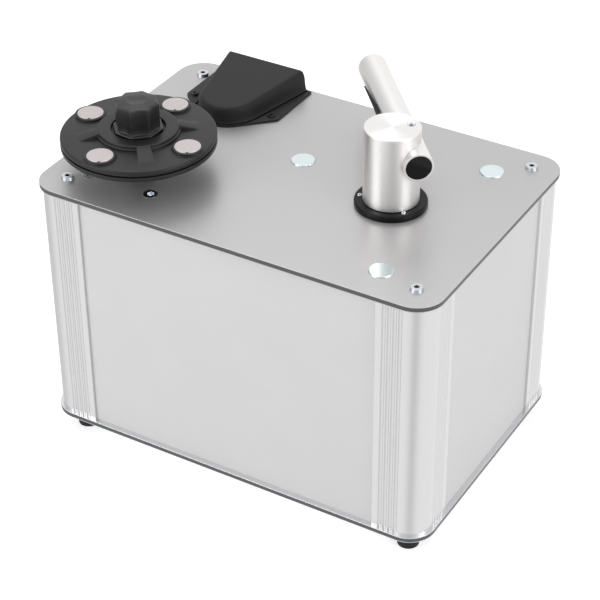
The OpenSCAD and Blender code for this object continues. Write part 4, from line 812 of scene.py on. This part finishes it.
class CLEANER_OT_rubber(bpy.types.Operator):
    """Adds the three hoses, the clamp's seal and the platter's mat"""

    bl_idname = "cleaner.rubber"
    bl_label = "Rubber pieces"

    def execute(self, context):
        rubber = FINISHES["rubber_matt"]
        quarter = np.linspace(0, np.pi / 2, 40)
        low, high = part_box("vacuum_hose")
        r = (high.y - low.y) / 2
        bend, x, y, top = 30 * MM, low.x + r, (low.y + high.y) / 2, high.z - r
        path = np.concatenate([
            [[x, y, low.z], [x, y, low.z + 0.3 * MM]],
            np.stack([x + bend * (1 - np.cos(quarter)), y + 0 * quarter, top - bend + bend * np.sin(quarter)], -1),
            [[high.x, y, top]]])
        path = even_steps(path, 220)
        add_piece("vacuum_tube", [hose(path, r, r - 1.95 * MM, 6 * MM)], rubber, "case",
                  ["vacuum_hose"])

        low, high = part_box("exhaust_hose")
        hole = np.array([cover_x, cover_mouth_y - 28 * MM])
        fan = np.array(centre("impeller")[:2])
        way = (hole - fan) / np.linalg.norm(hole - fan)
        r, bend = 13 * MM, 20 * MM
        start = hole - way * bend
        z = low.z + r
        flat = np.stack([start + way * bend * math.sin(t) for t in quarter])
        path = np.concatenate([np.column_stack([flat, z + bend * (1 - np.cos(quarter))]), [[*hole, high.z]]])
        path = even_steps(path, 200)
        collar_low = plate_low.z - 3 * MM
        shells = [hose(path, r, r - 2 * MM, 6 * MM),
                  turned(soften([(r - 0.4 * MM, collar_low, 0), (r + 4 * MM, collar_low, 0.6 * MM),
                                 (r + 4 * MM, plate_low.z, 0), (r - 0.4 * MM, plate_low.z, 0)]), *hole, closed=True)]
        add_piece("exhaust_tube", shells, rubber, "case", ["exhaust_hose"])

        low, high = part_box("drain_hose")
        r = (high.x - low.x) / 2
        x, z = (low.x + high.x) / 2, (low.z + high.z) / 2
        path = even_steps(np.array([[x, low.y, z], [x, high.y, z]]), 40)
        add_piece("drain_tube", [hose(path, r, r - 1.95 * MM, 3 * MM)], rubber, "case",
                  ["drain_hose"])

        for name, node, width in (("seal_ring", "clamp_seal", 5.2 * MM), ("mat_ring", "platter_mat", None)):
            low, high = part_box(node)
            outer = (high.x - low.x) / 2
            inner = outer - width if width else 4.2 * MM
            cut = min(0.4 * MM, (high.z - low.z) * 0.4)
            ring = soften([(inner, low.z, 0), (outer, low.z, cut), (outer, high.z, cut), (inner, high.z, cut),
                           (inner, low.z, 0)])
            body = "clamp" if node == "clamp_seal" else "platter_body"
            add_piece(name, [turned(ring, spindle_x, spindle_y, 160)], rubber, body, [node])
        return {"FINISHED"}


def even_steps(path, count):
    """Points at even steps along a path of straight lines."""
    s = np.concatenate([[0], np.cumsum(np.linalg.norm(np.diff(path, axis=0), axis=1))])
    t = np.linspace(0, s[-1], count)
    return np.stack([np.interp(t, s, path[:, k]) for k in range(3)], -1)


def hose(path, outer, inner, pitch):
    """Ribbed hose: a circle carried along a path, whose radius falls by a rounded rib wave, and its bore."""
    s = np.concatenate([[0], np.cumsum(np.linalg.norm(np.diff(path, axis=0), axis=1))])
    plain = np.minimum(s, s[-1] - s) < 5 * MM
    wave = np.where(plain, 0, 0.5 * (1 - np.cos(2 * np.pi * s / pitch)))
    skin, _ = swept(path, outer - 0.5 * MM * wave, 40, closed_ends=False)
    bore, _ = swept(path, inner, 40, closed_ends=False)
    skin, bore = skin.reshape(len(path), -1, 3), bore.reshape(len(path), -1, 3)
    rings = np.concatenate([skin, bore[::-1]])
    return rings.reshape(-1, 3), grid_faces(len(rings), 40, close_rows=True)


SPRING_WIRE = 0.9 * MM
SPRING_TURNS = 5


def helix_tube(path, angle, wire, sides=14):
    """Wire of a vertical coil: centre + wire (cos b outward + sin b up) along the coil's path."""
    outward = np.stack([np.cos(angle), np.sin(angle), 0 * angle], -1)[:, None]
    up = np.array([0, 0, 1.0])
    b = np.linspace(0, 2 * np.pi, sides, endpoint=False)[None, :, None]
    rings = path[:, None] + wire * (np.cos(b) * outward + np.sin(b) * up)
    rings = np.concatenate([np.repeat(path[:1, None], sides, 1), rings, np.repeat(path[-1:, None], sides, 1)])
    return rings.reshape(-1, 3), grid_faces(len(rings), sides)


NODE_FINISHES = {
    "top_plate_satin": ["top_plate"],
    "bottom_plate_satin": ["bottom_plate"],
    "post_satin": ["post_front_left", "post_front_right", "post_rear_left", "post_rear_right"],
    "panel_matt": ["front_panel", "rear_panel", "left_panel", "right_panel"],
    "turned_metal": ["arm_column", "suction_pipe"],
    "faced_metal": ["spindle", "arm_tip_plug"],
    "tube_metal": ["arm_tube"],
    "bright_zinc": ["top_screws", "foot_screws", "foot_washers", "collar_screws", "spindle_clip", "tank_nuts"],
    "socket_zinc": ["gearbox_screws", "arm_set_screw"],
    "dome_zinc": ["tank_bolts"],
    "charcoal_satin": ["platter", "switch_frames", "mains_inlet", "drain_socket"],
    "black_anodised": ["column_collar"],
    "cap_gloss": ["arm_cap"],
    "gloss_black": ["fan_housing", "vacuum_rocker", "direction_rocker"],
    "black_steel": ["air_cover_screws", "platter_motor", "vacuum_motor", "motor_rotor"],
    "rubber_matt": ["feet", "lip_pad"],
    "white_moulding": ["tank", "column_bush", "drive_gear"],
    "grey_moulding": ["gearbox", "gearbox_lid", "tank_lid", "impeller"],
    "bronze_turned": ["spindle_bush", "knob_nut", "motor_pinion"],
}


REPLACED_NODES = ("clamp_disc", "clamp_inserts", "clamp_knob", "clamp_seal", "platter_mat", "air_cover",
                  "velvet_strips", "lift_spring", "vacuum_hose", "exhaust_hose", "drain_hose")


class CLEANER_OT_nodes(bpy.types.Operator):
    """Gives every node of the frame its finish"""

    bl_idname = "cleaner.nodes"
    bl_label = "Finishes of the frame"

    def execute(self, context):
        for name, nodes in NODE_FINISHES.items():
            for node in nodes:
                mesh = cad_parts[node].data
                mesh.materials.clear()
                mesh.materials.append(FINISHES[name])
        for node in REPLACED_NODES:
            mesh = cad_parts[node].data
            mesh.materials.clear()
            mesh.materials.append(FINISHES["charcoal_satin"])
        return {"FINISHED"}


# Stage

CAMERA_PLACE = (0.6247, -1.0502, 0.9646)
CAMERA_AZIMUTH, CAMERA_ELEVATION = math.radians(29.970), math.radians(35.543)
CAMERA_LENS, CAMERA_SHIFT = 116.35, (-0.0386, 0.0361)


STUDIO_GAPS = ((-60, 16, 0.42), (175, 6, 0.4))


def studio_gaps(tree):
    """What metal sees of the studio: 1, less a dark gap between the softboxes for each (direction in degrees,
    narrowness, depth). A gap's shape is the cosine of the angle off its direction, raised to its narrowness."""
    split = add_node(tree, "ShaderNodeSeparateXYZ", [(0, add_node(tree, "ShaderNodeTexCoord").outputs["Generated"])])
    x, y = split.outputs[0], split.outputs[1]
    flat = math_node(tree, "SQRT", math_node(tree, "ADD", math_node(tree, "MULTIPLY", x, x),
                                             math_node(tree, "MULTIPLY", y, y)))
    flat = math_node(tree, "MAXIMUM", flat, 0.001)
    level = 1.0
    for angle, narrowness, depth in STUDIO_GAPS:
        turn = math.radians(angle)
        off = math_node(tree, "DIVIDE", math_node(tree, "ADD", math_node(tree, "MULTIPLY", x, math.cos(turn)),
                                                  math_node(tree, "MULTIPLY", y, math.sin(turn))), flat)
        gap = math_node(tree, "POWER", math_node(tree, "MAXIMUM", off, 0.0), narrowness)
        gap = math_node(tree, "MULTIPLY", math_node(tree, "MULTIPLY", gap, flat), depth)
        level = math_node(tree, "SUBTRACT", level, gap)
    glossy = add_node(tree, "ShaderNodeLightPath").outputs["Is Glossy Ray"]
    return add_node(tree, "ShaderNodeMix", [(0, glossy), (2, 1.0), (3, level)]).outputs[0]


def add_lamp(name, place, aim, width, height, power, tint=(1, 1, 1)):
    """A rectangular softbox at place that faces aim."""
    lamp = bpy.data.lights.new(name, "AREA")
    lamp.shape, lamp.size, lamp.size_y, lamp.energy, lamp.color = "RECTANGLE", width, height, power, tint
    item = bpy.data.objects.new(name, lamp)
    bpy.context.scene.collection.objects.link(item)
    item.location = place
    item.rotation_euler = (Vector(place) - Vector(aim)).to_track_quat("Z", "Y").to_euler()
    return item


def background_rays(tree):
    """1 on rays that show the background: camera, glossy and transmission rays."""
    rays = add_node(tree, "ShaderNodeLightPath").outputs
    both = math_node(tree, "MAXIMUM", rays["Is Camera Ray"], rays["Is Glossy Ray"])
    return math_node(tree, "MAXIMUM", both, rays["Is Transmission Ray"])


class CLEANER_OT_stage(bpy.types.Operator):
    """Adds the floor, the lamps, the white world and the camera"""

    bl_idname = "cleaner.stage"
    bl_label = "Stage"

    def execute(self, context):
        scene = context.scene
        scene.view_settings.view_transform = "Standard"
        world = bpy.data.worlds.new("studio")
        scene.world = world
        world.use_nodes = True
        tree = world.node_tree
        tree.nodes["Background"].inputs["Color"].default_value = (1, 1, 1, 1)
        tree.nodes["Background"].inputs["Strength"].default_value = 0.62
        white = add_node(tree, "ShaderNodeBackground", [("Color", (1, 1, 1, 1)), ("Strength", studio_gaps(tree))])
        mix = add_node(tree, "ShaderNodeMixShader", [(0, background_rays(tree)),
                                                    (1, tree.nodes["Background"].outputs[0]), (2, white.outputs[0])])
        tree.links.new(mix.outputs[0], tree.nodes["World Output"].inputs["Surface"])

        t = np.linspace(-6, 6, 9)
        x, y = np.meshgrid(t, t, indexing="ij")
        points = np.stack([x, y, 0 * x - 0.0002], -1).reshape(-1, 3)
        mesh = bpy.data.meshes.new("studio_floor")
        mesh.from_pydata(points.tolist(), [], grid_faces(9, 9, close_cols=False).tolist())
        mesh.flip_normals() if mesh.polygons[0].normal.z < 0 else None
        floor = bpy.data.objects.new("studio_floor", mesh)
        scene.collection.objects.link(floor)
        material = bpy.data.materials.new("studio_paper")
        material.use_nodes = True
        tree = material.node_tree
        shader = tree.nodes["Principled BSDF"]
        shader.inputs["Base Color"].default_value = (0.85, 0.85, 0.85, 1)
        shader.inputs["Roughness"].default_value = 0.9
        shader.inputs["Specular IOR Level"].default_value = 0.1
        glow = add_node(tree, "ShaderNodeEmission", [("Color", (1, 1, 1, 1)),
                                                    ("Strength", math_node(tree, "MULTIPLY", background_rays(tree), 0.5))])
        total = add_node(tree, "ShaderNodeAddShader", [(0, shader.outputs[0]), (1, glow.outputs[0])])
        clear = add_node(tree, "ShaderNodeBsdfTransparent", [])
        seen = add_node(tree, "ShaderNodeMixShader", [(0, add_node(tree, "ShaderNodeLightPath").outputs["Is Glossy Ray"]),
                                                      (1, total.outputs[0]), (2, clear.outputs[0])])
        tree.links.new(seen.outputs[0], tree.nodes["Material Output"].inputs["Surface"])
        mesh.materials.append(material)

        middle = (0, 0, 0.15)
        add_lamp("top_softbox", (-0.7, 0.5, 2.2), middle, 1.6, 1.6, 10)
        add_lamp("front_softbox", (-1.1, -1.8, 1.0), middle, 1.2, 1.4, 13.5)
        add_lamp("side_softbox", (2.1, -0.2, 0.9), middle, 1.2, 1.4, 12)

        camera = bpy.data.cameras.new("camera")
        camera.sensor_width = 36
        camera.lens = CAMERA_LENS
        camera.shift_x, camera.shift_y = CAMERA_SHIFT
        item = bpy.data.objects.new("camera", camera)
        scene.collection.objects.link(item)
        ca, sa = math.cos(CAMERA_AZIMUTH), math.sin(CAMERA_AZIMUTH)
        ce, se = math.cos(CAMERA_ELEVATION), math.sin(CAMERA_ELEVATION)
        back = Vector((sa * ce, -ca * ce, se))
        right = Vector((ca, sa, 0))
        up = back.cross(right)
        item.matrix_world = Matrix.Translation(CAMERA_PLACE) @ Matrix((right, up, back)).transposed().to_4x4()
        scene.camera = item
        return {"FINISHED"}


STEPS = ("finishes", "clamp", "inserts", "knob", "cover", "soft", "rubber", "nodes", "stage")


class CLEANER_PT_panel(bpy.types.Panel):
    """Lists the steps that build the looks."""

    bl_idname = "CLEANER_PT_panel"
    bl_label = "Record cleaning machine"
    bl_space_type = "VIEW_3D"
    bl_region_type = "UI"
    bl_category = "Cleaner"

    def draw(self, context):
        for step in STEPS:
            self.layout.operator("cleaner." + step)
        for group in (context.scene.cleaner_sizes, context.scene.cleaner_colours):
            for key in group.bl_rna.properties.keys():
                if key not in ("rna_type", "name"):
                    self.layout.prop(group, key)


CLASSES = (CleanerSizes, CleanerColours, CLEANER_OT_finishes, CLEANER_OT_clamp, CLEANER_OT_inserts, CLEANER_OT_knob,
           CLEANER_OT_cover, CLEANER_OT_soft, CLEANER_OT_rubber, CLEANER_OT_nodes, CLEANER_OT_stage, CLEANER_PT_panel)


def register():
    for item in CLASSES:
        bpy.utils.register_class(item)
    bpy.types.Scene.cleaner_sizes = PointerProperty(type=CleanerSizes)
    bpy.types.Scene.cleaner_colours = PointerProperty(type=CleanerColours)


def unregister():
    del bpy.types.Scene.cleaner_colours
    del bpy.types.Scene.cleaner_sizes
    for item in reversed(CLASSES):
        bpy.utils.unregister_class(item)


def main():
    """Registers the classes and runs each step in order."""
    register()
    for step in STEPS:
        if getattr(bpy.ops.cleaner, step)() != {"FINISHED"}:
            raise RuntimeError("step did not finish: " + step)


if __name__ == "__main__":
    main()
